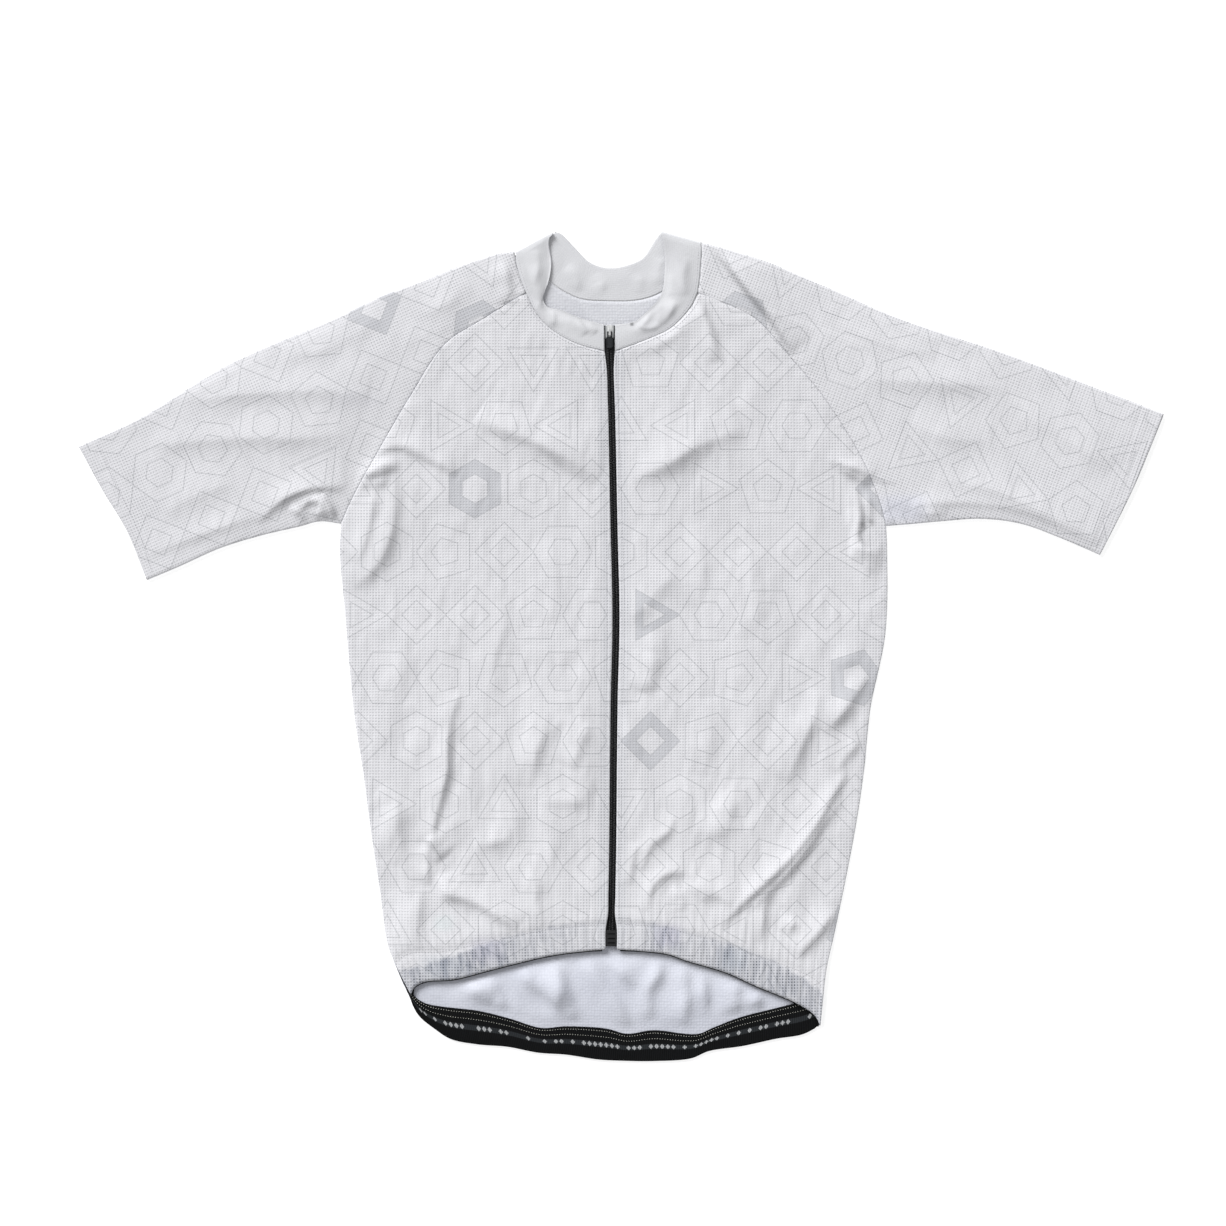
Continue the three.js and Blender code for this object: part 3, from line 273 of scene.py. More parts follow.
# creases of the upper layer: height of the ridge (a trough is below nought), width of its
# side to the light and of its side away from it, and the run of its darkest line
creaseRows = [
    # left front, chest
    (1.5, 7, 4, [(-217, 168), (-206, 174), (-194, 175), (-183, 171), (-170, 164), (-158, 158), (-146, 151)]),
    (1.1, 5, 3, [(-224, 152), (-213, 158), (-199, 160)]),
    (1.9, 8, 5, [(-234, 147), (-224, 150), (-212, 152), (-196, 158)]),
    (1.3, 6, 4, [(-236, 140), (-222, 142), (-206, 143)]),
    (2.4, 13, 6, [(-196, 154), (-198, 127), (-200, 102), (-211, 73), (-227, 57), (-242, 46)]),
    (1.5, 8, 4, [(-217, 145), (-219, 118), (-224, 96), (-232, 74)]),
    (2.7, 17, 8, [(-131, 201), (-118, 193), (-95, 184), (-75, 175), (-57, 166), (-38, 155), (-22, 145)]),
    # left front, lower side
    (2.4, 10, 4, [
        (-142, -43), (-150, -68), (-152, -92), (-152, -111), (-157, -132), (-162, -150), (-167, -176),
    ]),
    (2.0, 8, 7, [(-175, -172), (-168, -181), (-160, -190)]),
    (1.7, 8, 4, [(-171, -179), (-170, -196), (-169, -213)]),
    (1.8, 12, 7, [(-171, -213), (-175, -232), (-177, -251), (-177, -273)]),
    (2.9, 11, 5, [(-164, -204), (-157, -222), (-140, -227), (-124, -234), (-111, -242), (-95, -254)]),
    (1.5, 11, 8, [(-208, -121), (-194, -138), (-194, -157), (-193, -168), (-187, -190)]),
    (1.6, 13, 8, [(-77, -126), (-73, -105), (-65, -83), (-52, -72), (-40, -68)]),
    (1.4, 11, 7, [(-42, -110), (-35, -96), (-25, -70)]),
    (1.4, 10, 6, [(-130, -180), (-112, -178), (-95, -172)]),
    (1.5, 11, 7, [(-80, -185), (-72, -213), (-70, -234), (-65, -247)]),
    (0.9, 9, 6, [(-74, -143), (-50, -142), (-24, -143)]),
    (1.0, 13, 9, [(-105, 60), (-100, 20), (-108, -25), (-103, -60)]),
    (0.9, 12, 9, [(-60, 95), (-52, 60), (-56, 20)]),
    (0.9, 12, 9, [(-178, 40), (-186, 0), (-182, -45)]),
    # right front, chest
    (2.5, 16, 8, [(9, 143), (30, 151), (52, 162), (66, 171), (90, 181), (110, 188)]),
    (1.5, 12, 8, [(11, 21), (25, 32), (36, 47), (54, 61)]),
    (1.5, 6, 3, [(183, 163), (196, 160), (210, 156), (226, 150)]),
    (1.2, 4, 3, [(190, 157), (205, 152), (221, 145)]),
    (1.0, 4, 3, [(195, 151), (208, 147), (219, 141)]),
    (1.6, 5, 3.5, [(206, 144), (212, 130), (214, 112), (212, 97), (219, 89), (231, 92)]),
    (1.2, 4, 3, [(220, 137), (223, 124), (222, 112)]),
    (1.0, 5, 3, [(203, 138), (205, 118), (204, 98)]),
    (0.8, 4, 3, [(199, 88), (212, 84), (229, 79)]),
    (0.7, 4, 3, [(201, 80), (215, 76), (232, 72)]),
    (0.6, 4, 3, [(206, 73), (218, 69), (231, 66)]),
    (-1.8, 9, 14, [(187, 157), (187, 128), (188, 98), (191, 76), (196, 50), (197, 32)]),
    (1.2, 10, 7, [(199, 80), (216, 77), (234, 78)]),
    (1.2, 12, 8, [(190, -22), (202, -18), (214, -15)]),
    (1.1, 14, 9, [(36, 12), (33, -14), (36, -38)]),
    # right front, lower side
    (2.5, 8, 4, [
        (203, -112), (190, -134), (175, -160), (158, -183), (145, -197), (127, -214), (108, -231), (88, -253),
    ]),
    (1.7, 5, 3, [(199, -136), (182, -158), (166, -182), (147, -205), (126, -225), (112, -238)]),
    (1.2, 6, 4, [(215, -86), (204, -97), (193, -113)]),
    (2.2, 10, 5, [(221, -26), (210, -46), (199, -62), (182, -78)]),
    (2.0, 11, 6, [(181, -41), (174, -66), (163, -92), (150, -122)]),
    (1.2, 11, 7, [(35, -8), (30, -27), (23, -43)]),
    (1.2, 11, 7, [(8, -52), (12, -76), (17, -96)]),
    (1.5, 7, 4, [(50, -150), (44, -166), (30, -177), (24, -190), (21, -200)]),
    (1.2, 6, 4, [(17, -176), (12, -192), (11, -212)]),
    (1.4, 7, 4, [(24, -236), (28, -219), (38, -206), (51, -203), (66, -208)]),
    (1.1, 6, 4, [(46, -212), (55, -220), (58, -234)]),
    (1.1, 6, 4, [(70, -226), (84, -224), (98, -232)]),
    (1.2, 13, 8, [(63, -167), (83, -171), (110, -165)]),
    (1.3, 12, 8, [(54, -218), (80, -222), (107, -218)]),
    (1.2, 14, 10, [(84, -46), (85, -80), (82, -115)]),
    (1.0, 12, 9, [(102, -128), (103, -146), (101, -165)]),
    (2.4, 9, 5, [(192, -237), (182, -251), (170, -264), (158, -278)]),
    (2.0, 9, 5, [(138, -218), (130, -229), (129, -243), (126, -264)]),
    (1.7, 8, 5, [(158, -244), (154, -250), (150, -257)]),
    (1.0, 14, 10, [(120, 90), (128, 50), (124, 5)]),
    (0.9, 12, 9, [(70, 110), (78, 75), (74, 35)]),
    # left sleeve
    (1.7, 17, 10, [(-391, 210), (-350, 216), (-306, 219), (-262, 220), (-224, 216)]),
    (1.5, 15, 9, [(-419, 172), (-380, 176), (-338, 179), (-285, 179), (-241, 184)]),
    (2.0, 10, 4, [(-322, 108), (-311, 118), (-295, 130), (-277, 137), (-259, 139), (-243, 141)]),
    (1.5, 5, 3, [(-283, 121), (-277, 127), (-271, 128), (-268, 124), (-272, 119), (-268, 111)]),
    (1.7, 5, 3, [(-264, 137), (-258, 127), (-254, 118), (-252, 111)]),
    (1.4, 5, 3, [(-296, 121), (-289, 118), (-284, 110)]),
    (1.2, 4, 3, [(-272, 134), (-265, 127), (-262, 117), (-263, 111)]),
    (0.9, 9, 6, [(-424, 77), (-376, 94), (-336, 108), (-310, 114)]),
    (1.0, 15, 10, [(-340, 140), (-375, 128), (-405, 112)]),
    (1.0, 16, 10, [(-210, 290), (-250, 262), (-300, 250)]),
    (1.2, 16, 10, [(-130, 320), (-150, 300), (-178, 288)]),
    (1.7, 8, 5, [(-103, 343), (-97, 326), (-95, 305)]),
    # right sleeve and shoulder
    (1.6, 17, 10, [(212, 230), (248, 229), (300, 226), (344, 224)]),
    (1.4, 14, 8, [(278, 144), (305, 139), (332, 133), (358, 121), (381, 111), (401, 102), (424, 89)]),
    (0.9, 7, 4, [(231, 123), (260, 123), (291, 125), (320, 124), (354, 119), (387, 107), (424, 87)]),
    (1.3, 8, 5, [(256, 119), (270, 114), (290, 114)]),
    (3.0, 13, 5, [(80, 356), (92, 340), (106, 321), (118, 306), (131, 292), (142, 273), (152, 261)]),
    (1.5, 9, 5, [(73, 308), (77, 290), (83, 275), (88, 254)]),
    (0.8, 8, 5, [(66, 303), (60, 288), (52, 277), (37, 265), (17, 255)]),
    (1.1, 16, 10, [(190, 285), (230, 262), (280, 254)]),
    (1.0, 16, 10, [(350, 200), (390, 180), (430, 150)]),
    (1.0, 14, 9, [(255, 195), (285, 180), (330, 176)]),
]

# the sharpest folds: how much light is lost at the bottom, half width, and the line of the bottom
valleyRows = [
    (0.30, 2.4, [(79, 354), (92, 339), (106, 321), (118, 306), (131, 291), (142, 275), (152, 260)]),
    (0.16, 2.6, [(68, 313), (78, 291), (86, 269), (91, 249)]),
    (0.24, 3.2, [(-228, 148), (-214, 153), (-200, 157)]),
    (0.12, 2.4, [(-217, 171), (-200, 175), (-179, 167), (-145, 151)]),
    (0.10, 3.4, [(-200, 157), (-198, 121), (-206, 94), (-223, 61)]),
    (0.12, 3.4, [(-132, 196), (-96, 184), (-71, 176), (-49, 157), (-19, 143)]),
    (0.22, 2.2, [(190, 162), (206, 156), (222, 148), (247, 144)]),
    (0.16, 2.0, [(196, 155), (208, 150), (222, 143)]),
    (0.24, 2.0, [(211, 143), (215, 109), (212, 95), (219, 89), (229, 94)]),
    (0.22, 2.2, [(-319, 112), (-302, 128), (-286, 135), (-270, 139), (-247, 137)]),
    (0.20, 1.8, [(-290, 113), (-283, 121), (-276, 127), (-270, 125), (-273, 117), (-266, 110)]),
    (0.20, 1.8, [(-264, 134), (-257, 124), (-252, 112)]),
    (0.10, 2.6, [(-143, -45), (-151, -92), (-157, -132), (-167, -176), (-171, -210)]),
    (0.16, 2.0, [(-178, -170), (-168, -178), (-160, -190), (-172, -192)]),
    (0.12, 2.8, [(203, -112), (175, -160), (145, -197), (108, -231), (90, -251)]),
    (0.10, 2.4, [(30, -170), (22, -190), (18, -208)]),
    (0.08, 2.6, [(26, -222), (38, -206), (54, -204)]),
]

# soft creases of the back's inside, as seen through the hem opening
backCreaseRows = [
    (1.6, 9, 5, [(-93, -284), (-84, -300), (-66, -312), (-54, -326)]),
    (1.1, 6, 4, [(-72, -290), (-60, -296), (-52, -308), (-58, -322)]),
    (1.5, 8, 5, [(-56, -276), (-50, -297), (-38, -330)]),
    (1.6, 8, 5, [(-30, -275), (-13, -299), (0, -317), (10, -336)]),
    (1.2, 7, 4, [(-14, -276), (-2, -292), (10, -306)]),
    (1.5, 8, 5, [(36, -274), (36, -293), (27, -307), (30, -330)]),
    (1.3, 8, 5, [(58, -282), (61, -314), (58, -338)]),
    (1.2, 7, 4, [(74, -290), (77, -310), (79, -328)]),
    (1.1, 8, 5, [(112, -296), (104, -310), (107, -322)]),
    (1.1, 7, 4, [(130, -304), (124, -314), (128, -320)]),
    (1.3, 8, 5, [(-140, -296), (-134, -306), (-118, -318)]),
    (1.0, 7, 4, [(-118, -292), (-108, -306), (-100, -322)]),
]


def alongPath(path):
    return np.r_[0, np.cumsum(np.linalg.norm(np.diff(path, axis=0), axis=1))]


def runOf(*tables):
    # one smooth run through the rows of one table or of several end to end
    parts = []
    for table in tables:
        rows = np.array(table, float)
        rows = np.vstack([2 * rows[0] - rows[1], rows, 2 * rows[-1] - rows[-2]])
        gaps = np.sqrt(np.linalg.norm(np.diff(rows, axis=0), axis=1))
        share = np.linspace(0, 1, 25)[:, None]
        for k in range(1, len(rows) - 2):
            a, b, c, d = rows[k - 1 : k + 3]
            before, here, after = gaps[k - 1 : k + 2]
            leave = ((b - a) / before - (c - a) / (before + here) + (c - b) / here) * here
            arrive = ((c - b) / here - (d - b) / (here + after) + (d - c) / after) * here
            parts.append(
                b
                + leave * share
                + (3 * (c - b) - 2 * leave - arrive) * share**2
                + (2 * (b - c) + leave + arrive) * share**3
            )
    line = np.vstack(parts)
    lengths = alongPath(line)
    return {"line": line, "share": lengths / lengths[-1], "length": lengths[-1]}


def pointsAt(run, share):
    return np.stack([np.interp(share, run["share"], run["line"][:, k]) for k in range(3)], -1)


def fourSided(foot, head, outer, inner, across, up):
    # middle of a piece between its hem, top, outer and inner runs
    u, v = across[:, None, None], up[None, :, None]
    low, high = pointsAt(foot, across)[:, None], pointsAt(head, across)[:, None]
    out, inn = pointsAt(outer, up)[None], pointsAt(inner, up)[None]
    cornersOut, cornersIn = pointsAt(outer, [0, 1]), pointsAt(inner, [0, 1])
    ends = (1 - v) * ((1 - u) * cornersOut[0] + u * cornersIn[0])
    ends = ends + v * ((1 - u) * cornersOut[1] + u * cornersIn[1])
    return (1 - v) * low + v * high + (1 - u) * out + u * inn - ends


def zipValue(y, column):
    rows = np.array(zipRows)
    return np.interp(y, rows[:, 0], rows[:, column])


def zipEdge(side):
    return [(x + side * gap, y, lift) for y, x, lift, gap in zipRows]


def smoothStep(value, low, high):
    share = np.clip((value - low) / (high - low), 0, 1)
    return share * share * (3 - 2 * share)


def softNoise(x, y, wide, long, turn, seed):
    # smooth uneven swells, about wide by long millimetres, turned by degrees
    c, s = np.cos(np.radians(turn)), np.sin(np.radians(turn))
    a, b = (c * x + s * y) / wide + 40, (c * y - s * x) / long + 40
    knots = np.random.RandomState(seed).uniform(-1, 1, (256, 256))
    i, j = np.floor(a).astype(int), np.floor(b).astype(int)
    p, q = a - i, b - j
    p, q = p * p * p * (p * (6 * p - 15) + 10), q * q * q * (q * (6 * q - 15) + 10)
    i, j = i % 255, j % 255
    low = knots[i, j] * (1 - p) + knots[i + 1, j] * p
    high = knots[i, j + 1] * (1 - p) + knots[i + 1, j + 1] * p
    return low * (1 - q) + high * q


lightWay = np.array([math.cos(math.radians(studio["keyFrom"])), math.sin(math.radians(studio["keyFrom"]))])


def beside(x, y, points, reach):
    # spots within reach of a smooth line: which they are, their distance, less than nought on
    # the line's side to the light, and how far along it they lie
    run = runOf([(px, py, 0) for px, py in points])
    pieces = max(8, int(run["length"] / 6))
    line = pointsAt(run, np.linspace(0, 1, pieces + 1))[:, :2]
    step = np.diff(line, axis=0)
    chord = line[-1] - line[0]
    away = np.array([chord[1], -chord[0]])  # square to the run, turned from the light
    turned = -1 if away @ lightWay > 0 else 1
    near = (x > line[:, 0].min() - reach) & (x < line[:, 0].max() + reach)
    near &= (y > line[:, 1].min() - reach) & (y < line[:, 1].max() + reach)
    spots = np.stack([x[near], y[near]], -1)[:, None]
    offset = spots - line[:-1]
    share = np.clip((offset * step).sum(-1) / (step**2).sum(-1), 0, 1)
    gap = offset - share[..., None] * step
    nearest = (gap**2).sum(-1).argmin(1)
    pick = np.arange(len(nearest))
    gap, share, stepHere = gap[pick, nearest], share[pick, nearest], step[nearest]
    side = turned * np.sign(stepHere[:, 1] * gap[:, 0] - stepHere[:, 0] * gap[:, 1])
    return near, side * np.linalg.norm(gap, axis=1), (nearest + share) / pieces


creaseForm = {
    "rise": 2.3,  # on the heights in the tables
    "litWider": 1.3,  # on the widths of the sides to the light
    "reach": 3.5,  # widths to which a crease is worked out
    "lean": 0.7,  # share of a width between the darkest line and the ridge
    "endsFade": 0.65,
}


def creaseHeight(x, y, rows):
    height = np.zeros_like(x)
    for number, (high, litSide, darkSide, points) in enumerate(rows):
        near, distance, along = beside(x, y, points, creaseForm["reach"] * max(litSide, darkSide))
        distance = distance + creaseForm["lean"] * (darkSide if high > 0 else -litSide)
        width = np.where(distance > 0, darkSide, creaseForm["litWider"] * litSide)
        ends = np.sin(np.pi * along) ** creaseForm["endsFade"]
        uneven = 0.85 + 0.15 * np.sin(9 * along + 2.3 * number)
        ridge = np.exp(-(np.abs(distance / width) ** 1.5))
        height[near] += creaseForm["rise"] * high * ridge * ends * uneven
    return height


def lineShade(x, y, rows):
    # light lost along thin lines, such as the bottoms of sharp folds
    shade = np.ones_like(x)
    for deep, width, points in rows:
        near, distance, along = beside(x, y, points, 3 * width)
        ends = np.sin(np.pi * along) ** 0.5
        shade[near] *= 1 - deep * np.exp(-((distance / width) ** 2)) * ends
    return shade[:, None]


# slack between the creases: height, width and length of its swells, their turn, seed, and
# the share of it that the chest loses, because it lies smoother than the waist
slackRows = [
    (1.3, 58, 92, 12, 3, 0),  # broad swells
    (1.0, 17, 52, 8, 5, 0.5),  # drag lines
    (0.6, 15, 40, -28, 9, 0.5),
    (0.35, 6, 12, 5, 7, 0),  # small crumples
]


def looseness(x, y):
    chest = smoothStep(y, -90, 60)
    return sum(
        high * softNoise(x, y, wide, long, turn, seed) * (1 - smoother * chest)
        for high, wide, long, turn, seed, smoother in slackRows
    )


def groove(distance, deep, wide):
    return -deep * np.exp(-((distance / wide) ** 2))


def pucker(x, y, distance, high, seed):
    # small ripples that a sewn seam leaves beside it
    return high * np.sin(y / 1.35 + 2.0 * softNoise(x, y, 15, 15, 0, seed)) * np.exp(-distance / 6)


def settled(height, room):
    # keeps a height from sinking further than the room below it
    soft = 0.35
    return np.logaddexp(0, (height + room) / soft) * soft - room


def makeCloth(name, places, wall, materials, outward, cut=None, ring=False):
    # a grid with each corner moved to its place; outward is the way its outside faces
    wide, long = places.shape[:2]
    shape = bmesh.new()
    bmesh.ops.create_grid(shape, x_segments=wide - 1, y_segments=long - 1, size=1.0)
    mesh = toMesh(name, shape, *materials)
    spots = np.empty(len(mesh.vertices) * 3, np.float32)
    mesh.vertices.foreach_get("co", spots)
    spots = spots.reshape(-1, 3)
    i = np.rint((spots[:, 0] + 1) / 2 * (wide - 1)).astype(int)
    j = np.rint((spots[:, 1] + 1) / 2 * (long - 1)).astype(int)
    mesh.vertices.foreach_set("co", (places[i, j] * mm).astype(np.float32).ravel())
    corners = np.empty(len(mesh.loops), np.int32)
    mesh.loops.foreach_get("vertex_index", corners)
    flat = (places[..., :2] if cut is None else cut)[i, j] * mm
    mesh.uv_layers.new(name="cut").data.foreach_set("uv", flat[corners].astype(np.float32).ravel())
    shape = bmesh.new()
    shape.from_mesh(mesh)
    if ring:
        bmesh.ops.remove_doubles(shape, verts=shape.verts, dist=0.02 * mm)
    bmesh.ops.recalc_face_normals(shape, faces=shape.faces)
    facing = sum(f.normal.dot(outward(f.calc_center_median())) * f.calc_area() for f in shape.faces)
    if facing < 0:
        bmesh.ops.reverse_faces(shape, faces=shape.faces)
    shape.to_mesh(mesh)
    shape.free()
    mesh.shade_smooth()
    cloth = toObject(name, mesh)
    solid = cloth.modifiers.new("wall", "SOLIDIFY")
    solid.thickness = wall * mm
    solid.offset = 0
    # where there are two, the second material is the inside's
    solid.material_offset = solid.material_offset_rim = len(materials) - 1
    return cloth


def paint(cloth, colours, behind=None):
    # light that the layer beneath takes from each spot, with painted shade and painted highlight, as a colour
    # to multiply by, and how dark it is
    layer = cloth.data.attributes.new("showThroughAndPaintedLight", "FLOAT_COLOR", "POINT")
    spots = np.empty(len(cloth.data.vertices) * 3, np.float32)
    cloth.data.vertices.foreach_get("co", spots)
    spots = spots.reshape(-1, 3) / mm
    shade = np.c_[colours(spots[:, 0], spots[:, 1], spots[:, 2]), np.ones(len(spots))]
    layer.data.foreach_set("color", shade.astype(np.float32).ravel())
    layer = cloth.data.attributes.new("behind", "FLOAT", "POINT")
    dark = np.zeros(len(spots)) if behind is None else behind(spots[:, 0], spots[:, 1])
    layer.data.foreach_set("value", dark.astype(np.float32))


knit = {
    "ground": "#DCDCE0",
    "groundFar": "#DFDFE3",  # in its paler clouds
    "behind": "#6E7178",  # what a pore shows
    "inside": "#DFE0E5",
    "insideLoops": "#BFC1C9",
    "collar": "#DADBDE",
    "collarLoops": "#C9C9CE",
    "line": "#BBBCC0",
    "tint": "#C9CACF",
    "tintFrom": 0.968,  # chance above which a motif is tinted
    "cellWide": 0.052,
    "cellTall": 0.056,
    "ringOut": 0.0262,  # corner radius of a printed outline
    "lineHalf": 0.0005,
    "layout": 7.0,  # another number gives another layout of the print
    "pore": 0.0026,  # the real pores are 1.8 mm apart, too fine to show, so they are drawn coarser
    "rib": 0.0052,
}


def finishKnit(tree, colour, roughness, bump, bumpDeep, **fixed):
    # painted shade lies over the knit's own colour
    painted = addNode(tree, "ShaderNodeAttribute", attribute_name="showThroughAndPaintedLight").outputs["Color"]
    ends = {0: 1.0, 6: colour, 7: painted}
    final = addNode(tree, "ShaderNodeMix", ends, data_type="RGBA", blend_type="MULTIPLY").outputs[2]
    finishMaterial(tree, final, roughness, bump, bumpDeep, **fixed)


def printedKnit(name, turn):
    # polyester warp knit with sublimation print: matt, finely pored, print broken into dots by the pores
    material, tree = newMaterial(name)
    cut = addNode(tree, "ShaderNodeUVMap", uv_map="cut").outputs[0]
    placed = addNode(tree, "ShaderNodeMapping", {"Vector": cut, "Rotation": (0, 0, math.radians(turn))})
    split = addNode(tree, "ShaderNodeSeparateXYZ", {0: placed.outputs[0]})
    value = {"x": split.outputs[0], "y": split.outputs[1]}
    wave = 2 * math.pi

    # pores are more open in patches, and show what lies behind: pale cloth, or the dark band or tape
    patches = addNode(tree, "ShaderNodeTexNoise", {"Vector": cut, "Scale": 38.0, "Detail": 2.0})
    openness = addNode(tree, "ShaderNodeMapRange", {0: patches.outputs[0], 1: 0.4, 2: 0.62, 3: 0.06, 4: 0.25})
    value["patch"] = openness.outputs[0]
    yarns = addNode(tree, "ShaderNodeTexNoise", {"Vector": cut, "Scale": 560.0, "Detail": 1.0})
    value["grain"] = yarns.outputs[0]
    drawn = addNode(tree, "ShaderNodeMapping", {"Vector": cut, "Scale": (1.0, 0.14, 1.0)})
    gathers = addNode(tree, "ShaderNodeTexNoise", {"Vector": drawn.outputs[0], "Scale": 330.0, "Detail": 2.0})
    streak = addNode(tree, "ShaderNodeMapRange", {0: gathers.outputs[0], 1: 0.38, 2: 0.64, 3: 0.25, 4: 1.0})
    value["streak"] = streak.outputs[0]
    value["behind"] = addNode(tree, "ShaderNodeAttribute", attribute_name="behind").outputs["Fac"]

    cellSums = [
        ("rows", "DIVIDE", "y", knit["cellTall"]),
        ("row", "FLOOR", "rows"),
        ("shifted", "MULTIPLY", "row", 0.5),
        ("columnsPlain", "DIVIDE", "x", knit["cellWide"]),
        ("columns", "ADD", "columnsPlain", "shifted"),
        ("column", "FLOOR", "columns"),
    ]
    motifSums = [
        ("xx", "MULTIPLY", "dx", "dx"),
        ("rr", "MULTIPLY_ADD", "dy", "dy", "xx"),
        ("radius", "SQRT", "rr"),
        ("angle", "ARCTAN2", "dy", "dx"),
        # three to six sides, in one of four turns
        ("sidesMore", "MULTIPLY", "pickSides", 3.99),
        ("sidesWhole", "FLOOR", "sidesMore"),
        ("sides", "ADD", "sidesWhole", 3.0),
        ("sector", "DIVIDE", wave, "sides"),
        ("half", "MULTIPLY", "sector", 0.5),
        ("quarters", "MULTIPLY", "pickTurn", 3.99),
        ("quarterWhole", "FLOOR", "quarters"),
        ("turned", "MULTIPLY_ADD", "quarterWhole", wave / 4, wave),
        ("bearing", "ADD", "angle", "turned"),
        ("inSector", "MODULO", "bearing", "sector"),
        ("fromMiddle", "SUBTRACT", "inSector", "half"),
        ("leaning", "COSINE", "fromMiddle"),
        ("reach", "MULTIPLY", "radius", "leaning"),
        # an outer outline and one of half its size
        ("flatness", "COSINE", "half"),
        ("outer", "MULTIPLY", "flatness", knit["ringOut"]),
        ("inner", "MULTIPLY", "outer", 0.5),
        ("offOuter", "SUBTRACT", "reach", "outer"),
        ("offInner", "SUBTRACT", "reach", "inner"),
        ("nearOuter", "ABSOLUTE", "offOuter"),
        ("nearInner", "ABSOLUTE", "offInner"),
        ("nearest", "MINIMUM", "nearOuter", "nearInner"),
        ("line", "LESS_THAN", "nearest", knit["lineHalf"]),
        ("inOuter", "LESS_THAN", "reach", "outer"),
        ("outInner", "GREATER_THAN", "reach", "inner"),
        ("between", "MULTIPLY", "inOuter", "outInner"),
        ("isTinted", "GREATER_THAN", "pickTint", knit["tintFrom"]),
        ("tinted", "MULTIPLY", "between", "isTinted"),
        # pores in upright rows, and the ribs between them
        ("poreBoth", "MULTIPLY", "liftx", "lifty"),
        ("pore", "GREATER_THAN", "poreBoth", 0.42),
        ("ribX", "MULTIPLY", "x", wave / knit["rib"]),
        ("rib", "SINE", "ribX"),
        ("poreWell", "MULTIPLY", "poreBoth", -0.9),
        ("ribbed", "MULTIPLY_ADD", "rib", 0.1, "poreWell"),
        ("relief", "MULTIPLY_ADD", "grain", 0.8, "ribbed"),
        ("dotted", "MULTIPLY_ADD", "poreBoth", 0.6, 0.55),
        ("lineInk", "MULTIPLY", "line", "dotted"),
        # how open the pores are
        ("ground", "SUBTRACT", 1.0, "inOuter"),
        ("openGround", "MULTIPLY_ADD", "ground", 0.10, "patch"),
        ("openGrain", "MULTIPLY_ADD", "grain", 0.5, "openGround"),
        ("gathered", "MULTIPLY", "behind", "streak"),
        ("openBehind", "MULTIPLY_ADD", "gathered", 0.75, "openGrain"),
        ("open", "SUBTRACT", "openBehind", 0.25),
        ("poreInk", "MULTIPLY", "pore", "open"),
    ]
    for axis, grid, cell, size in (("x", "columns", "column", "cellWide"), ("y", "rows", "row", "cellTall")):
        cellSums += [
            ("part" + axis, "SUBTRACT", grid, cell),
            ("off" + axis, "SUBTRACT", "part" + axis, 0.5),
            ("d" + axis, "MULTIPLY", "off" + axis, knit[size]),
            ("pore" + axis, "MULTIPLY", axis, wave / knit["pore"]),
            ("sine" + axis, "SINE", "pore" + axis),
            ("lift" + axis, "MULTIPLY_ADD", "sine" + axis, 0.5, 0.5),
        ]
    for sums in (cellSums, motifSums):
        for result, operation, *given in sums:
            inputs = {k: value[g] if isinstance(g, str) else g for k, g in enumerate(given)}
            value[result] = addNode(tree, "ShaderNodeMath", inputs, operation=operation).outputs[0]
        if sums is cellSums:
            # three chances for each cell
            ends = {0: value["column"], 1: value["row"], 2: knit["layout"]}
            cell = addNode(tree, "ShaderNodeCombineXYZ", ends).outputs[0]
            chance = addNode(tree, "ShaderNodeTexWhiteNoise", {"Vector": cell}, noise_dimensions="3D")
            chances = addNode(tree, "ShaderNodeSeparateXYZ", {0: chance.outputs["Color"]}).outputs
            value.update(pickSides=chances[0], pickTurn=chances[1], pickTint=chances[2])
    soil = addNode(tree, "ShaderNodeTexNoise", {"Vector": cut, "Scale": 14.0, "Detail": 3.0})
    colour = toLinear(knit["ground"])
    for amount, other in (
        (soil.outputs[0], knit["groundFar"]),
        (value["tinted"], knit["tint"]),
        (value["lineInk"], knit["line"]),
        (value["poreInk"], knit["behind"]),
    ):
        ends = {0: amount, 6: colour, 7: toLinear(other)}
        colour = addNode(tree, "ShaderNodeMix", ends, data_type="RGBA").outputs[2]
    finishKnit(tree, colour, 0.82, value["relief"], 0.00025, Sheen_Weight=0.1, Specular_IOR_Level=0.3)
    return material


def plainKnit(name, light, dark, pore, deep):
    # unprinted face of the same knit, or the firmer collar knit: matt, fine even loops
    material, tree = newMaterial(name)
    cut = addNode(tree, "ShaderNodeUVMap", uv_map="cut").outputs[0]
    checks = addNode(tree, "ShaderNodeTexVoronoi", {"Vector": cut, "Scale": 1 / pore, "Randomness": 0.35})
    cloudy = addNode(tree, "ShaderNodeTexNoise", {"Vector": cut, "Scale": 22.0, "Detail": 4.0})
    loops = addNode(tree, "ShaderNodeMath", {0: checks.outputs["Distance"], 1: 0.5}, operation="MULTIPLY")
    amount = addNode(tree, "ShaderNodeMath", {0: loops.outputs[0], 1: cloudy.outputs[0]}, operation="ADD")
    share = addNode(tree, "ShaderNodeMath", {0: amount.outputs[0], 1: 0.45}, operation="SUBTRACT")
    ends = {0: share.outputs[0], 6: toLinear(light), 7: toLinear(dark)}
    colour = addNode(tree, "ShaderNodeMix", ends, data_type="RGBA").outputs[2]
    finishKnit(tree, colour, 0.85, checks.outputs["Distance"], deep, Sheen_Weight=0.08)
    return material


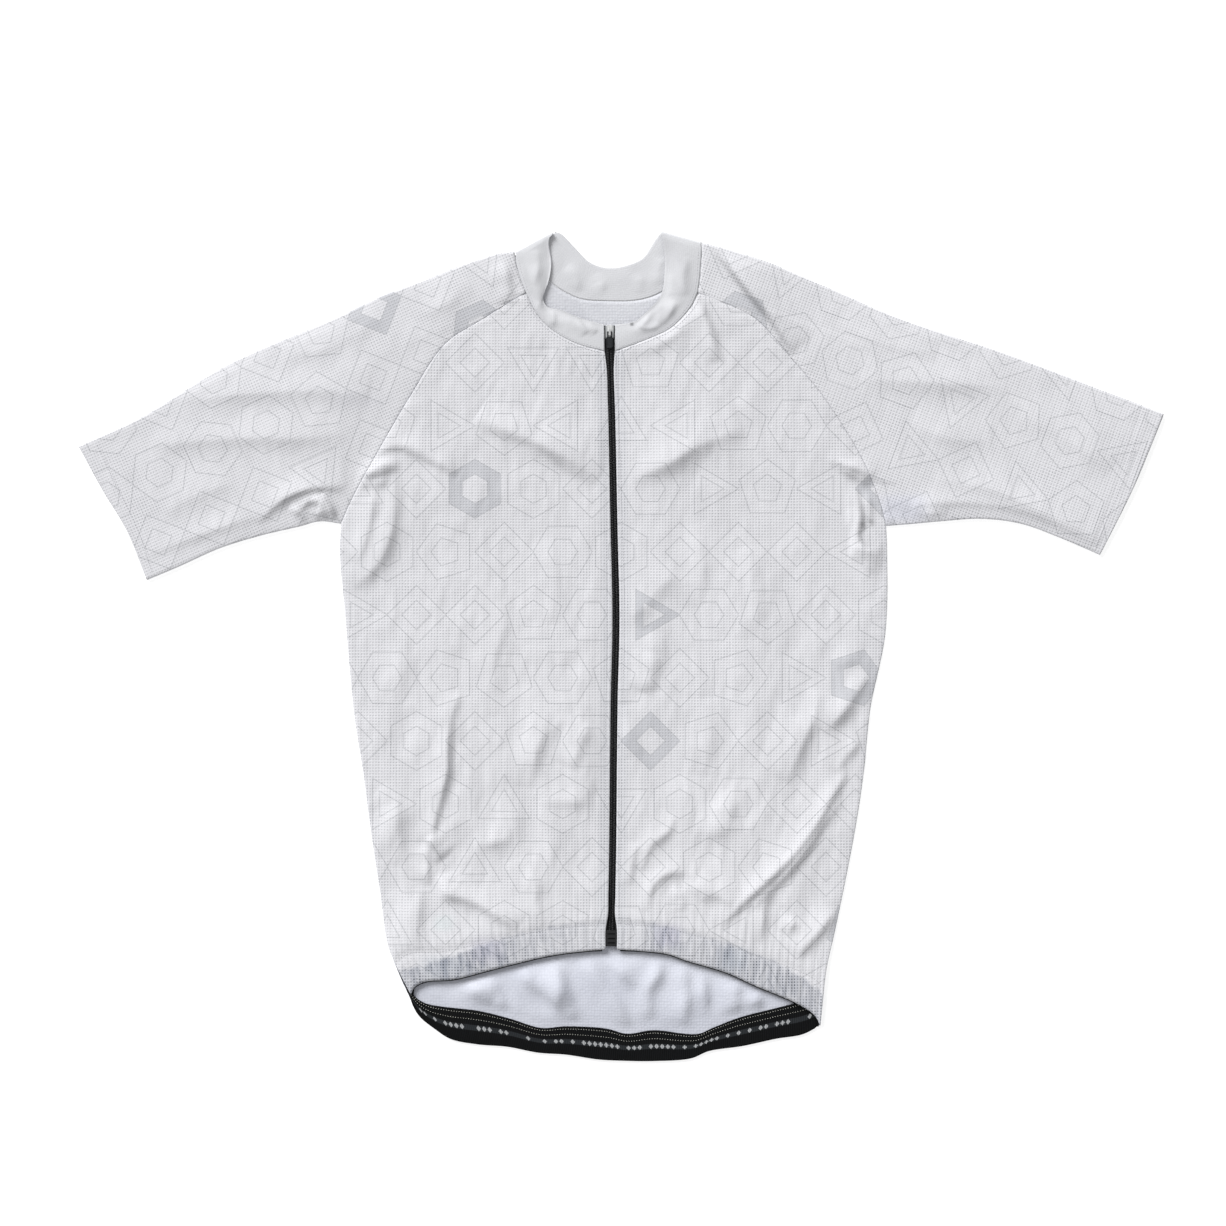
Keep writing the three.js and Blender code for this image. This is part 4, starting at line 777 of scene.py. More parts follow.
bodyPrint = printedKnit("printedPolyesterKnit", 0)
sleeveLeftPrint = printedKnit("printedPolyesterKnitLeftSleeve", -24)
sleeveRightPrint = printedKnit("printedPolyesterKnitRightSleeve", 20)
insideKnit = plainKnit("polyesterKnitInside", knit["inside"], knit["insideLoops"], knit["pore"], 0.0003)
collarKnit = plainKnit("firmCollarKnit", knit["collar"], knit["collarLoops"], 0.0019, 0.0002)

# the dark band shows through the front hem: x, its upper edge there, and how strongly it shows
hemShows = [
    (-205, -291, 0.8), (-193, -287, 1.1), (-176, -285, 1.15), (-166, -280, 1.2), (-147, -275, 1.2),
    (-134, -269, 1.2), (-112, -262, 1.2), (-100, -257, 0.9), (-80, -253, 0.55), (-63, -249, 0.6),
    (-24, -244, 0.3), (3, -242, 0.3), (20, -244, 0.35), (30, -247, 0.85), (52, -252, 0.8), (62, -254, 0.4),
    (80, -260, 0.6), (92, -263, 1.0), (112, -270, 0.8), (140, -282, 0.95), (166, -298, 0.9), (184, -313, 0.7),
]
# patches of it that look violet or green: x, y, half width, half height, shade
hemPatches = [
    (-119, -270, 15, 11, (0.93, 0.92, 0.97)),
    (41, -257, 12, 10, (0.93, 0.92, 0.98)),
    (100, -278, 12, 10, (0.92, 0.95, 0.97)),
    (-158, -284, 20, 9, (0.93, 0.95, 0.97)),
    (-158, -246, 9, 7, (0.92, 0.96, 0.95)),
]
# dark little wells between the folds of the right armpit: x, y, radius, depth of the shade
armpitWells = [(214.5, 108, 3.0, 0.42), (222.5, 110, 2.6, 0.5), (219, 94, 4.0, 0.12), (213, 122, 4.0, 0.1)]
# how much red, green and blue the cloth loses
shades = {
    "tape": (0.06, 0.055, 0.05),
    "band": (0.29, 0.275, 0.245),
    "hemOpening": (0.085, 0.07, 0.02),  # it looks bluer than the neck
    "collarSide": (0.065, 0.065, 0.06),
    # the left sleeve's entry is painted shade in a dip of the sleeve
    "sleeveLeft": (0.05, 0.05, 0.04),
    "sleeveRight": (0.09, 0.08, 0.03),
}
tapeWide = 13
tapeShows = 0.22  # beside the band, which shows by 1


def lost(amount, name):
    return 1 - amount[:, None] * np.array(shades[name])


def tapeBehind(x, y):
    return 1 - smoothStep(np.abs(x - zipValue(y, 1)), tapeWide - 1, tapeWide + 0.6)


def bandBehind(x, y):
    rows = np.array(hemShows)
    edge = np.interp(x, rows[:, 0], rows[:, 1]) + 0.8 * np.sin(x / 2.1)
    strength = np.interp(x, rows[:, 0], rows[:, 2]) * (1 - smoothStep(y, edge - 1, edge + 1.5))
    # the gathers touch the band in uneven upright streaks
    return strength * (0.84 + 0.5 * softNoise(x, y, 2.4, 9, np.where(x < 0, 14, -6), 61))


def frontBehind(x, y):
    return np.maximum(tapeShows * tapeBehind(x, y), bandBehind(x, y))


def frontShade(x, y, z):
    shade = lost(tapeBehind(x, y), "tape") * lost(bandBehind(x, y), "band") * lineShade(x, y, valleyRows)
    for px, py, radius, deep in armpitWells:
        shade *= 1 - deep * np.exp(-(((x - px) ** 2 + (y - py) ** 2) / radius**2))[:, None]
    for px, py, halfWide, halfTall, tone in hemPatches:
        amount = np.exp(-(((x - px) / halfWide) ** 4) - ((y - py) / halfTall) ** 4)
        shade *= 1 - amount[:, None] * (1 - np.array(tone))
    return shade


def backShade(x, y, z):
    # the back's inside is darker left of a slanting line by the left of the neck
    darkerLeftOfNeck = smoothStep(-39 + (311 - y) * 0.58 - x, -1, 2) * smoothStep(y, 270, 280)
    return lost(1 - smoothStep(y, -255, -150), "hemOpening") * lost(darkerLeftOfNeck, "collarSide")


def sleeveLeftShade(x, y, z):
    # painted shade in a dip of the left sleeve, over the painted shade of the sharp folds
    hollowShade = np.exp(-(((x + 235) / 26) ** 2) - ((y - 218) / 9) ** 2)
    return lineShade(x, y, valleyRows) * lost(hollowShade, "sleeveLeft")


def sleeveRightShade(x, y, z):
    # a tinted patch by the armpit, and painted shade at a small pit in its corner
    patch = np.exp(-(((x - 250) / 22) ** 4) - ((y - 122) / 13) ** 4)
    wellShade = np.exp(-(((x - 240) / 5) ** 2) - ((y - 110) / 3) ** 2)
    return (lost(patch, "sleeveRight") - wellShade[:, None] * 0.25) * lineShade(x, y, valleyRows)


def collarShade(x, y, z):
    shade = np.where((z > 2)[:, None], lineShade(x, y, collarLines), 1) * np.ones((len(x), 3))
    for px, py, halfWide, halfTall, lean, deep in collarShades:
        amount = np.exp(-(((x - px - lean * (y - py)) / halfWide) ** 4) - ((y - py) / halfTall) ** 4)
        shade *= 1 - deep * amount[:, None] * (z > 2)[:, None]
    return shade


backPanel = {"cellsAcross": 120, "cellsUp": 170, "creases": 1.9, "flat": (0.49, 0.70), "area": 0.278}


def makeBack():
    across = np.linspace(0.0003, 0.9997, backPanel["cellsAcross"] + 1)
    up = np.linspace(0.0, 0.9998, backPanel["cellsUp"] + 1)
    hem = [(x, y + 0.6, 0) for x, y, _ in seams["bandFoot"][1:-1]]
    foot = runOf([seams["sideLeft"][0], *hem, seams["sideRight"][0]])
    outer = runOf(seams["sideLeft"], seams["raglanBackLeft"])
    inner = runOf(seams["sideRight"], seams["raglanBackRight"])
    places = fourSided(foot, runOf(seams["neckBack"]), outer, inner, across, up)
    x, y = places[..., 0], places[..., 1]
    height = backPanel["creases"] * creaseHeight(x, y, backCreaseRows)
    height += 0.9 * (1 + softNoise(x, y, 20, 46, 14, 21)) + 0.35 * (1 + softNoise(x, y, 10, 20, -20, 22))
    # the back lies flat under the front and the band, and is slack only in the hem opening
    underZip = [(-30, -270.6, 1.5), (19.4, -270.8, 1.5)]
    hemLine = runOf(seams["hemLeft"], underZip, seams["hemRight"][::-1])["line"]
    bandTop = runOf(seams["bandTop"])["line"]
    low = np.interp(x, bandTop[:, 0], bandTop[:, 1])
    high = np.interp(x, hemLine[:, 0], hemLine[:, 1])
    slack = smoothStep(y, low + 1, low + 12) * (1 - smoothStep(y, high - 14, high - 2))
    places[..., 2] = backRest + height * slack
    down = Vector((0, 0, -1))
    cloth = makeCloth("backPanelShell", places, shellWall, (bodyPrint, insideKnit), lambda spot: down)
    paint(cloth, backShade)
    seat(cloth, "back_panel")
    print("back laid")


makeBack()


fronts = {
    "cellsAcross": 168,
    "cellsUp": 236,
    "gathers": 25,
    "gatherHigh": 1.15,
    "puff": 1.6,
    "hemStitch": 0.043,  # share of the way up where the hem is sewn down
    # share of the way up, and how far the cloth stands off the layer below
    "raised": [(0, 3.2), (0.056, 3.1), (0.09, 1.3), (0.13, 0.4), (1, 0)],
    # share of the way up, and how strong the gathers are
    "gatherRows": [
        (0, 0.35), (0.006, 0.8), (0.02, 1.0), (0.036, 0.8), (0.043, 0.25), (0.05, 0.8), (0.075, 0.35),
        (0.13, 0),
    ],
}


def frontPlaces(side, sideRows, raglanRows, hemRows, neckRows):
    across = np.linspace(0.0003, 0.9997, fronts["cellsAcross"] + 1)
    up = np.linspace(0.0, 0.9998, fronts["cellsUp"] + 1)
    edge = zipEdge(side)
    foot, head = runOf([*hemRows, edge[0]]), runOf([*neckRows, edge[-1]])
    outer, inner = runOf(sideRows, raglanRows), runOf(edge)
    places = fourSided(foot, head, outer, inner, across, up)
    x, y = places[..., 0], places[..., 1]
    u, v = across[:, None], up[None]
    wide = np.linalg.norm(pointsAt(outer, up) - pointsAt(inner, up), axis=1)[None]
    fromSide, fromZip = u * wide, (1 - u) * wide
    fromNeck = (1 - v) * outer["length"] * 0.85
    raised = np.interp(v, *zip(*fronts["raised"]))
    puff = fronts["puff"] * np.sin(np.pi * u) ** 0.6 * np.sin(np.pi * np.minimum(v * 1.5, 1) * 0.94) ** 0.7
    # slack and creases, held still beside the zip, the collar and the sewn hem
    free = smoothStep(fromZip, 3, 20) * smoothStep(fromNeck, 2, 22) * smoothStep(v, 0.045, 0.11)
    heldHem = smoothStep(v, 0.03, 0.075)
    heldEdges = heldHem * smoothStep(fromZip, 1, 9) * smoothStep(fromNeck, 1, 10)
    height = looseness(x, y) * free + creaseHeight(x, y, creaseRows) * heldEdges
    room = 1.0 + puff
    # gathers of the hem: uneven ridges between the edge and the seam, dying away above it
    warp = u + 0.010 * np.sin(23 * u + 1.0 * side) + 0.006 * np.sin(57 * u + 2.0)
    count = fronts["gathers"]
    strength = 0.65 + 0.35 * softNoise(u * 100, v * 40, 4.2, 6.0, 0, 31 + side)
    profile = np.interp(v, *zip(*fronts["gatherRows"]))
    ridge = 0.5 - 0.5 * np.cos(2 * np.pi * count * warp)
    small = 0.5 - 0.5 * np.cos(2 * np.pi * (1.9 * count * warp + 0.3 * np.sin(40 * v)))
    gather = fronts["gatherHigh"] * profile * strength * (0.75 * ridge**0.8 + 0.35 * small)
    sewn = groove(v - fronts["hemStitch"], 0.35, 0.0028)
    # seams lie a little lower than the cloth beside them, and pucker
    seam = groove(fromSide, 0.3, 2.2) + pucker(x, y, fromSide, 0.25, 41) * smoothStep(v, 0.08, 0.12)
    zipSeam = groove(fromZip - 4.2, 0.25, 0.9) + 0.12 * np.sin(y / 1.6) * np.exp(-fromZip / 5)
    places[..., 2] += clothWall / 2 + raised + puff + settled(height, room) + gather + sewn + seam
    places[..., 2] += zipSeam * smoothStep(v, 0.06, 0.1) + groove(fromNeck, 0.55, 2.6)
    return places


def makeFront(name, node, side, rows):
    places = frontPlaces(side, *[seams[r] for r in rows])
    cloth = makeCloth(name, places, shellWall, (bodyPrint, insideKnit), lambda spot: Vector((0, 0, 1)))
    paint(cloth, frontShade, frontBehind)
    seat(cloth, node)
    print(name, "laid")
    return places


leftFront = makeFront(
    "frontLeftShell", "front_panel_left", -1,
    ("sideLeft", "raglanLeft", "hemLeft", "neckFrontLeft"),
)
rightFront = makeFront(
    "frontRightShell", "front_panel_right", 1,
    ("sideRight", "raglanRight", "hemRight", "neckFrontRight"),
)


def foldTurn(line, inside, lowAt, wall):
    # round turn from an upper layer down to a lower one, along a fold line
    run = np.gradient(line[:, :2], axis=0)
    run /= np.linalg.norm(run, axis=1)[:, None]
    out = line[:, :2] - inside[:, :2]
    out -= (out * run).sum(1)[:, None] * run
    out /= np.linalg.norm(out, axis=1)[:, None]
    high = line[:, 2] + clothWall / 2
    radius = (high - lowAt) / 2
    turned = []
    for angle in np.radians(range(90, -91, -15)):
        plan = line[:, :2] - out * (radius * (1 - math.cos(angle)) + wall / 2)[:, None]
        turned.append(np.c_[plan, lowAt + radius * (1 + math.sin(angle))])
    return turned


sleeves = {
    "cellsAlong": 196,
    "frontCells": 108,
    "backCells": 26,
    "puff": 1.5,
    "cuffBand": 20,
    "neckLeft": -88,
    "neckRight": 70,
    "neckLow": 312,
    "middleHigh": 0.0025,  # between the layers
    "flat": (0.44, 0.42),
}


def makeSleeve(name, node, tag, material):
    along = np.linspace(0.0004, 1, sleeves["cellsAlong"] + 1)
    reversedRaglan = seams["raglan" + tag][::-1]
    reversedBack = seams["raglanBack" + tag][::-1]
    neckBackSide = seams["neckBackLeft"] if tag == "Left" else seams["neckBackRight"][::-1]
    top, foot = runOf(seams["sleeveTop" + tag]), runOf(seams["sleeveFoot" + tag])
    cuff = runOf(seams["cuff" + tag])
    headFront = runOf(seams["neckSide" + tag], reversedRaglan)
    headBack = runOf(neckBackSide, reversedBack)
    corner = runOf(seams["neckSide" + tag])["length"] / headFront["length"]
    count = sleeves["frontCells"]
    near = max(3, int(count * corner))
    shares = np.r_[np.linspace(0.03, corner, near), np.linspace(corner, 0.975, count - near)[1:]]
    front = fourSided(headFront, cuff, top, foot, shares, along)
    back = fourSided(headBack, cuff, top, foot, np.linspace(0.97, 0.03, sleeves["backCells"]), along)
    x, y = front[..., 0], front[..., 1]
    u, v = shares[:, None], along[None]
    tall = np.linalg.norm(pointsAt(top, along) - pointsAt(foot, along), axis=1)[None]
    length = top["length"]
    puff = sleeves["puff"] * np.sin(np.pi * u) ** 0.5 * np.sin(np.pi * np.minimum(v * 1.7, 1) * 0.96) ** 0.7
    fromNeck = np.hypot(x - sleeves["neck" + tag], np.maximum(sleeves["neckLow"] - y, 0))
    edge = np.minimum(u, 1 - u) * tall
    free = smoothStep(edge, 0, 14) * smoothStep(fromNeck, 4, 24)
    heldEdges = smoothStep(edge, -2, 8) * smoothStep(fromNeck, 3, 14)
    height = looseness(x, y) * free * 0.5 + creaseHeight(x, y, creaseRows) * heldEdges
    room = 0.6 + puff
    fromHead = v * length
    seam = groove(fromHead, 0.3, 2.2) + pucker(x, y, fromHead, 0.2, 43)
    cuffLine = groove((1 - v) * length - sleeves["cuffBand"], 0.3, 1.1)
    front[..., 2] += clothWall / 2 + puff + settled(height, room) + seam + cuffLine
    back[..., 2] = backRest
    topLine, footLine = pointsAt(top, along), pointsAt(foot, along)
    topTurn = foldTurn(topLine, footLine, backRest, shellWall)
    footTurn = foldTurn(footLine, topLine, backRest, shellWall)
    ring = np.concatenate([topTurn[::-1], front, footTurn, back, [topTurn[-1]]])
    middle = (topLine + footLine) / 2 * mm

    def outward(spot):
        nearest = middle[np.abs(middle[:, 0] - spot.x).argmin()]
        return Vector((0, spot.y - nearest[1], 40 * (spot.z - sleeves["middleHigh"])))

    cloth = makeCloth(name, ring, shellWall, (material, insideKnit), outward, ring=True)
    paint(cloth, sleeveLeftShade if tag == "Left" else sleeveRightShade)
    seat(cloth, node)
    print(name, "laid")
    return front


leftSleeve = makeSleeve("sleeveLeftShell", "sleeve_left", "Left", sleeveLeftPrint)
rightSleeve = makeSleeve("sleeveRightShell", "sleeve_right", "Right", sleeveRightPrint)


collar = {
    "cellsFront": 110,
    "cellsBack": 120,
    "cellsAcross": 26,
    "wall": 1.0,
    "tall": 34,
    "puff": 0.7,
    "sink": 1.9,  # of the free edge away from the zip
    "bumps": 0.4,  # on the heights in the table
    "swell": 0.6,
    "centre": (-12.0, 300.0, 0.0),
    "middleHigh": 0.0045,  # between its front and back layers
    "flat": (0.40, 0.036),
    "area": 0.0116,
}
# thin lines of painted shade on the collar, along its front edge and folds: depth, half width, line; a depth
# below nought is a painted highlight along an edge
collarLines = [
    (-0.32, 1.5, [(-63, 366), (-64.3, 359), (-62, 340.2), (-64.4, 325.1), (-69.6, 309.5), (-66, 303)]),
    (0.34, 1.3, [(7, 286.8), (12.2, 288.8), (25.6, 300.2), (33.6, 309), (37.2, 318)]),
    (0.20, 1.1, [(-66, 303), (-53.6, 298.8), (-37.6, 292.1), (-22, 287.5)]),
    (0.10, 1.8, [(57, 307), (45, 296), (35, 286), (26, 279)]),
    (0.08, 1.8, [(38, 302), (30, 295), (24, 290)]),
    (0.08, 1.6, [(-64, 296), (-62, 288), (-65, 281)]),
    (0.09, 1.6, [(-38, 293), (-34, 286), (-29, 279)]),
]
# soft shades on the collar: x, y, half width, half height, lean, depth
collarShades = [
    (-67, 303, 9, 16, -0.3, 0.05), (-42, 287, 5, 8, 0.3, 0.08), (-24, 283, 4, 7, 0.4, 0.07),
    (38, 296, 9, 7, 0.6, 0.09), (20, 283, 4, 6, -0.4, 0.06), (9.5, 286, 1.6, 1.6, 0.0, 0.6),
    (58, 330, 5, 20, -0.2, 0.06), (-86, 330, 4, 18, -0.3, 0.05), (56, 318, 14, 34, -0.1, 0.035),
]
# small bumps of the collar: x, y, half width along x, half width along y, height
collarBumps = [
    (34, 293, 3.5, 9, 1.9),
    (-32, 284, 8, 5, 1.6),
    (-74, 325, 7, 13, 1.4),
    (50, 318, 6, 13, 1.5),
    (-52, 289, 9, 4, 1.2),
    (16, 281, 8, 4, 1.2),
    (-80, 300, 5, 7, 1.2),
    (52, 346, 8, 6, 1.0),
    (-20, 281, 4, 6, 0.9),
]
collarCreaseRows = [
    (0.9, 4, 3, [(-59, 302), (-58, 291), (-61, 280)]),
    (0.7, 4, 3, [(-71, 305), (-75, 296), (-80, 290)]),
    (0.9, 4, 3, [(-38, 296), (-35, 288), (-29, 279)]),
    (0.8, 3, 2.5, [(-28, 293), (-25, 286), (-20, 280)]),
    (0.9, 4, 3, [(29, 299), (25, 290), (18, 281)]),
    (1.0, 5, 3, [(50, 306), (45, 294), (37, 284)]),
    (0.7, 3, 2.5, [(13, 284), (20, 281), (29, 281), (37, 285)]),
    (0.8, 5, 4, [(42, 340), (47, 326), (48, 312)]),
    (0.7, 5, 4, [(62, 345), (58, 328), (60, 312)]),
    (0.8, 5, 4, [(-72, 352), (-71, 336), (-75, 320)]),
    (0.6, 4, 3, [(-86, 340), (-84, 326), (-79, 314)]),
]
collarBackCreaseRows = [
    (0.5, 5, 4, [(-46, 340), (-38, 330), (-35, 316)]),
    (0.4, 5, 4, [(-20, 333), (-14, 324), (-15, 312)]),
    (0.4, 5, 4, [(14, 334), (20, 326), (19, 314)]),
    (0.5, 5, 4, [(40, 345), (36, 334), (38, 322)]),
]


def stripLayer(foot, head, shares, cells):
    across = np.linspace(0, 1, cells + 1)[None, :, None]
    return pointsAt(foot, shares)[:, None] * (1 - across) + pointsAt(head, shares)[:, None] * across


def joinStrip(sides, back, tall):
    # front layers, round turns and back layer in one strip, its run and its flat cut
    (left, leftTurn), (right, rightTurn) = sides["Left"], sides["Right"]
    strip = np.concatenate([left[::-1], leftTurn, back, rightTurn[::-1], right])
    count = strip.shape[1]
    along = alongPath(strip[:, count // 2])
    return strip, along, np.stack(np.meshgrid(along, np.linspace(0, tall, count), indexing="ij"), -1)


def makeCollar():
    cells = collar["cellsAcross"]
    zipEnds = {side: zipEdge(side)[-1] for side in (-1, 1)}
    layers = {}
    for tag, side in (("Left", -1), ("Right", 1)):
        foot = runOf(seams["neckSide" + tag], [*seams["neckFront" + tag], zipEnds[side]])
        head = runOf(seams["collarTop" + tag])
        shares = np.linspace(0.045, 1, collar["cellsFront"])
        layer = stripLayer(foot, head, shares, cells)
        across = np.linspace(0, 1, cells + 1)[None]
        held = np.sin(np.pi * across)
        layer[..., 2] += clothWall / 2 + collar["puff"] * held
        layer[..., 2] += creaseHeight(layer[..., 0], layer[..., 1], collarCreaseRows) * held
        # away from the zip the free edge sinks towards the back layer
        sunk = smoothStep(shares, 0.03, 0.2) * (1 - smoothStep(shares, 0.55, 0.85))
        layer[..., 2] -= collar["sink"] * sunk[:, None] * smoothStep(across, 0.3, 1.0)
        for bx, by, halfX, halfY, high in collarBumps:
            spread = ((layer[..., 0] - bx) / halfX) ** 2 + ((layer[..., 1] - by) / halfY) ** 2
            layer[..., 2] += collar["bumps"] * high * np.exp(-spread) * held
        # a groove at the seam and a rim at the free edge
        fromSeam, fromEdge = across * 30, (1 - across) * 30
        layer[..., 2] += groove(fromSeam, 0.15, 1.6) - groove(fromEdge, 0.2, 2.0)
        line = stripLayer(foot, head, np.array([0.0]), cells)[0]
        inside = np.array([collar["centre"]]).repeat(cells + 1, 0)
        layers[tag] = (layer, foldTurn(line, inside, backRest, collar["wall"]))
    foot = runOf(seams["neckBackLeft"], seams["neckBack"], seams["neckBackRight"])
    shares = np.linspace(0.03, 0.97, collar["cellsBack"])
    back = stripLayer(foot, runOf(seams["collarTopBack"]), shares, cells)
    x, y = back[..., 0], back[..., 1]
    swell = collar["swell"] * (1 + softNoise(x, y, 15, 22, 10, 51)) + creaseHeight(x, y, collarBackCreaseRows)
    back[..., 2] = backRest + swell * np.sin(np.pi * np.linspace(0, 1, cells + 1))
    strip, _, cut = joinStrip(layers, back, collar["tall"])

    # outside of the tube: up on the front layers, down on the back layer
    def outward(spot):
        return Vector((0, 0, 1 if spot.z > collar["middleHigh"] else -1))

    cloth = makeCloth("collarShell", strip, collar["wall"], (collarKnit,), outward, cut)
    paint(cloth, collarShade)
    seat(cloth, "collar")
    print("collar laid")
    return layers["Left"][0], layers["Right"][0]


collarLeft, collarRight = makeCollar()


band = {
    "wall": 0.9,
    "backHigh": 2.0,
    "frontHigh": 3.9,
    "tall": 25,
    "shows": 1.0,
    "cells": 22,
    "black": "#08090A",
    "blackWorn": "#0F1012",
    "strip": "#2B2E31",
    "mark": "#A9ABAD",
    "rib": 0.0017,  # the real ribs are about 1.2 mm apart; drawn a little coarser
    "stripLow": 0.40,  # bare strip of smooth gripper print, as shares of the band's height
    "stripHigh": 0.56,
    "motif": 0.005,
    "leftOut": 0.32,  # share of the marks
    "stitch": {"length": 0.9, "pitch": 2.3, "radius": 0.27, "proud": 0.5},
    # row of its seam tables where it turns, x of its end at the zip, and the gathered top beside the turn
    "corners": {"Left": (0, -17, (-180, -276, 0)), "Right": (17, -1, (160, -298, 0))},
    "zipEnd": -270.9,
    "stitchRows": (0.92, 0.76),  # as shares of the band's height
    "centre": (0.0, -320.0, 0.0),
    "middleHigh": 0.003,  # between its front and back layers
    "flat": (0.75, 0.027),
    "area": 0.018,
}


def bandMaterial():
    # woven elastic: soft black, ribbed across, with a smooth dark grey strip of silicone
    material, tree = newMaterial("wovenElastic")
    cut = addNode(tree, "ShaderNodeUVMap", uv_map="cut").outputs[0]
    split = addNode(tree, "ShaderNodeSeparateXYZ", {0: cut})
    worn = addNode(tree, "ShaderNodeTexNoise", {"Vector": cut, "Scale": 160.0, "Detail": 4.0})
    low = band["stripLow"] * band["tall"] * mm
    high = band["stripHigh"] * band["tall"] * mm
    value = {"along": split.outputs[0], "up": split.outputs[1], "worn": worn.outputs[0]}
    # ribs, the strip, and small pale lozenges of grip printed along it
    sums = [
        ("ribs", "MULTIPLY", "along", 2 * math.pi / band["rib"]),
        ("wave", "SINE", "ribs"),
        ("relief", "ADD", "wave", "worn"),
        ("above", "GREATER_THAN", "up", low),
        ("below", "LESS_THAN", "up", high),
        ("strip", "MULTIPLY", "above", "below"),
        ("cells", "DIVIDE", "along", band["motif"]),
        ("cell", "FLOOR", "cells"),
        ("part", "SUBTRACT", "cells", "cell"),
        ("offAlong", "SUBTRACT", "part", 0.5),
        ("farAlong", "ABSOLUTE", "offAlong"),
        ("offUp", "SUBTRACT", "up", (low + high) / 2),
        ("upShare", "DIVIDE", "offUp", band["motif"]),
        ("farUp", "ABSOLUTE", "upShare"),
        ("far", "ADD", "farAlong", "farUp"),
        ("inside", "LESS_THAN", "far", 0.42),
    ]
    for result, operation, *given in sums:
        inputs = {k: value[g] if isinstance(g, str) else g for k, g in enumerate(given)}
        value[result] = addNode(tree, "ShaderNodeMath", inputs, operation=operation).outputs[0]
    chance = addNode(tree, "ShaderNodeTexWhiteNoise", {"W": value["cell"]}, noise_dimensions="1D")
    inputs = {0: chance.outputs["Value"], 1: band["leftOut"]}
    kept = addNode(tree, "ShaderNodeMath", inputs, operation="GREATER_THAN")
    inputs = {0: kept.outputs[0], 1: value["inside"]}
    mark = addNode(tree, "ShaderNodeMath", inputs, operation="MULTIPLY")
    colour = toLinear(band["black"])
    for amount, other in (
        (value["worn"], band["blackWorn"]),
        (value["strip"], band["strip"]),
        (mark.outputs[0], band["mark"]),
    ):
        ends = {0: amount, 6: colour, 7: toLinear(other)}
        colour = addNode(tree, "ShaderNodeMix", ends, data_type="RGBA").outputs[2]
    ends = {0: value["strip"], 1: 0.0, 2: 1.0, 3: 0.85, 4: 0.45}
    roughness = addNode(tree, "ShaderNodeMapRange", ends).outputs[0]
    finishMaterial(tree, colour, roughness, value["relief"], 0.0002, Specular_IOR_Level=0.15)
    return material


def texturedMaterial(name, texture, output, inputs, colours, roughness, deep, **settings):
    # one texture runs between two colours and raises the surface
    material, tree = newMaterial(name)
    spot = addNode(tree, "ShaderNodeTexCoord").outputs["Object"]
    amount = addNode(tree, texture, {"Vector": spot, **inputs}, **settings).outputs[output]
    ends = {0: amount, 6: toLinear(colours[0]), 7: toLinear(colours[1])}
    colour = addNode(tree, "ShaderNodeMix", ends, data_type="RGBA").outputs[2]
    finishMaterial(tree, colour, roughness, amount, deep)
    return material


def threadMaterial(name, dark, light):
    # spun polyester thread: soft shine, faint twist across each stitch
    twist = {"Scale": 900.0, "Distortion": 1.0}
    return texturedMaterial(
        name, "ShaderNodeTexWave", 1, twist, (dark, light), 0.6, 0.00005, bands_direction="DIAGONAL"
    )


paleThread = threadMaterial("palePolyesterThread", "#C6C6BC", "#DEDED4")
greyThread = threadMaterial("greyPolyesterThread", "#ABABB0", "#BEBEC3")


def sewRow(name, slot, path, material, length, pitch, radius, proud):
    # a row of single stitches along a path of places; each is a stretched bead of few faces
    path = np.asarray(path, float)
    lengths = alongPath(path)
    count = max(2, int(lengths[-1] / pitch))
    starts = (np.arange(count) + 0.5) * lengths[-1] / count
    shape = bmesh.new()
    for start in starts:
        ends = [Vector([np.interp(start + d, lengths, path[:, k]) for k in range(3)]) for d in (-0.5, 0.5)]
        middle = (ends[0] + ends[1]) / 2 + Vector((0, 0, proud))
        turn = (ends[1] - ends[0]).to_track_quat("X", "Z").to_matrix().to_4x4()
        size = Matrix.Diagonal((length / 2, radius, radius, 1))
        spot = Matrix.Scale(mm, 4) @ Matrix.Translation(middle) @ turn @ size
        bmesh.ops.create_icosphere(shape, subdivisions=1, radius=1.0, matrix=spot)
    mesh = toMesh(name, shape, material)
    mesh.shade_smooth()
    row = toObject(name, mesh)
    seat(row)
    return row


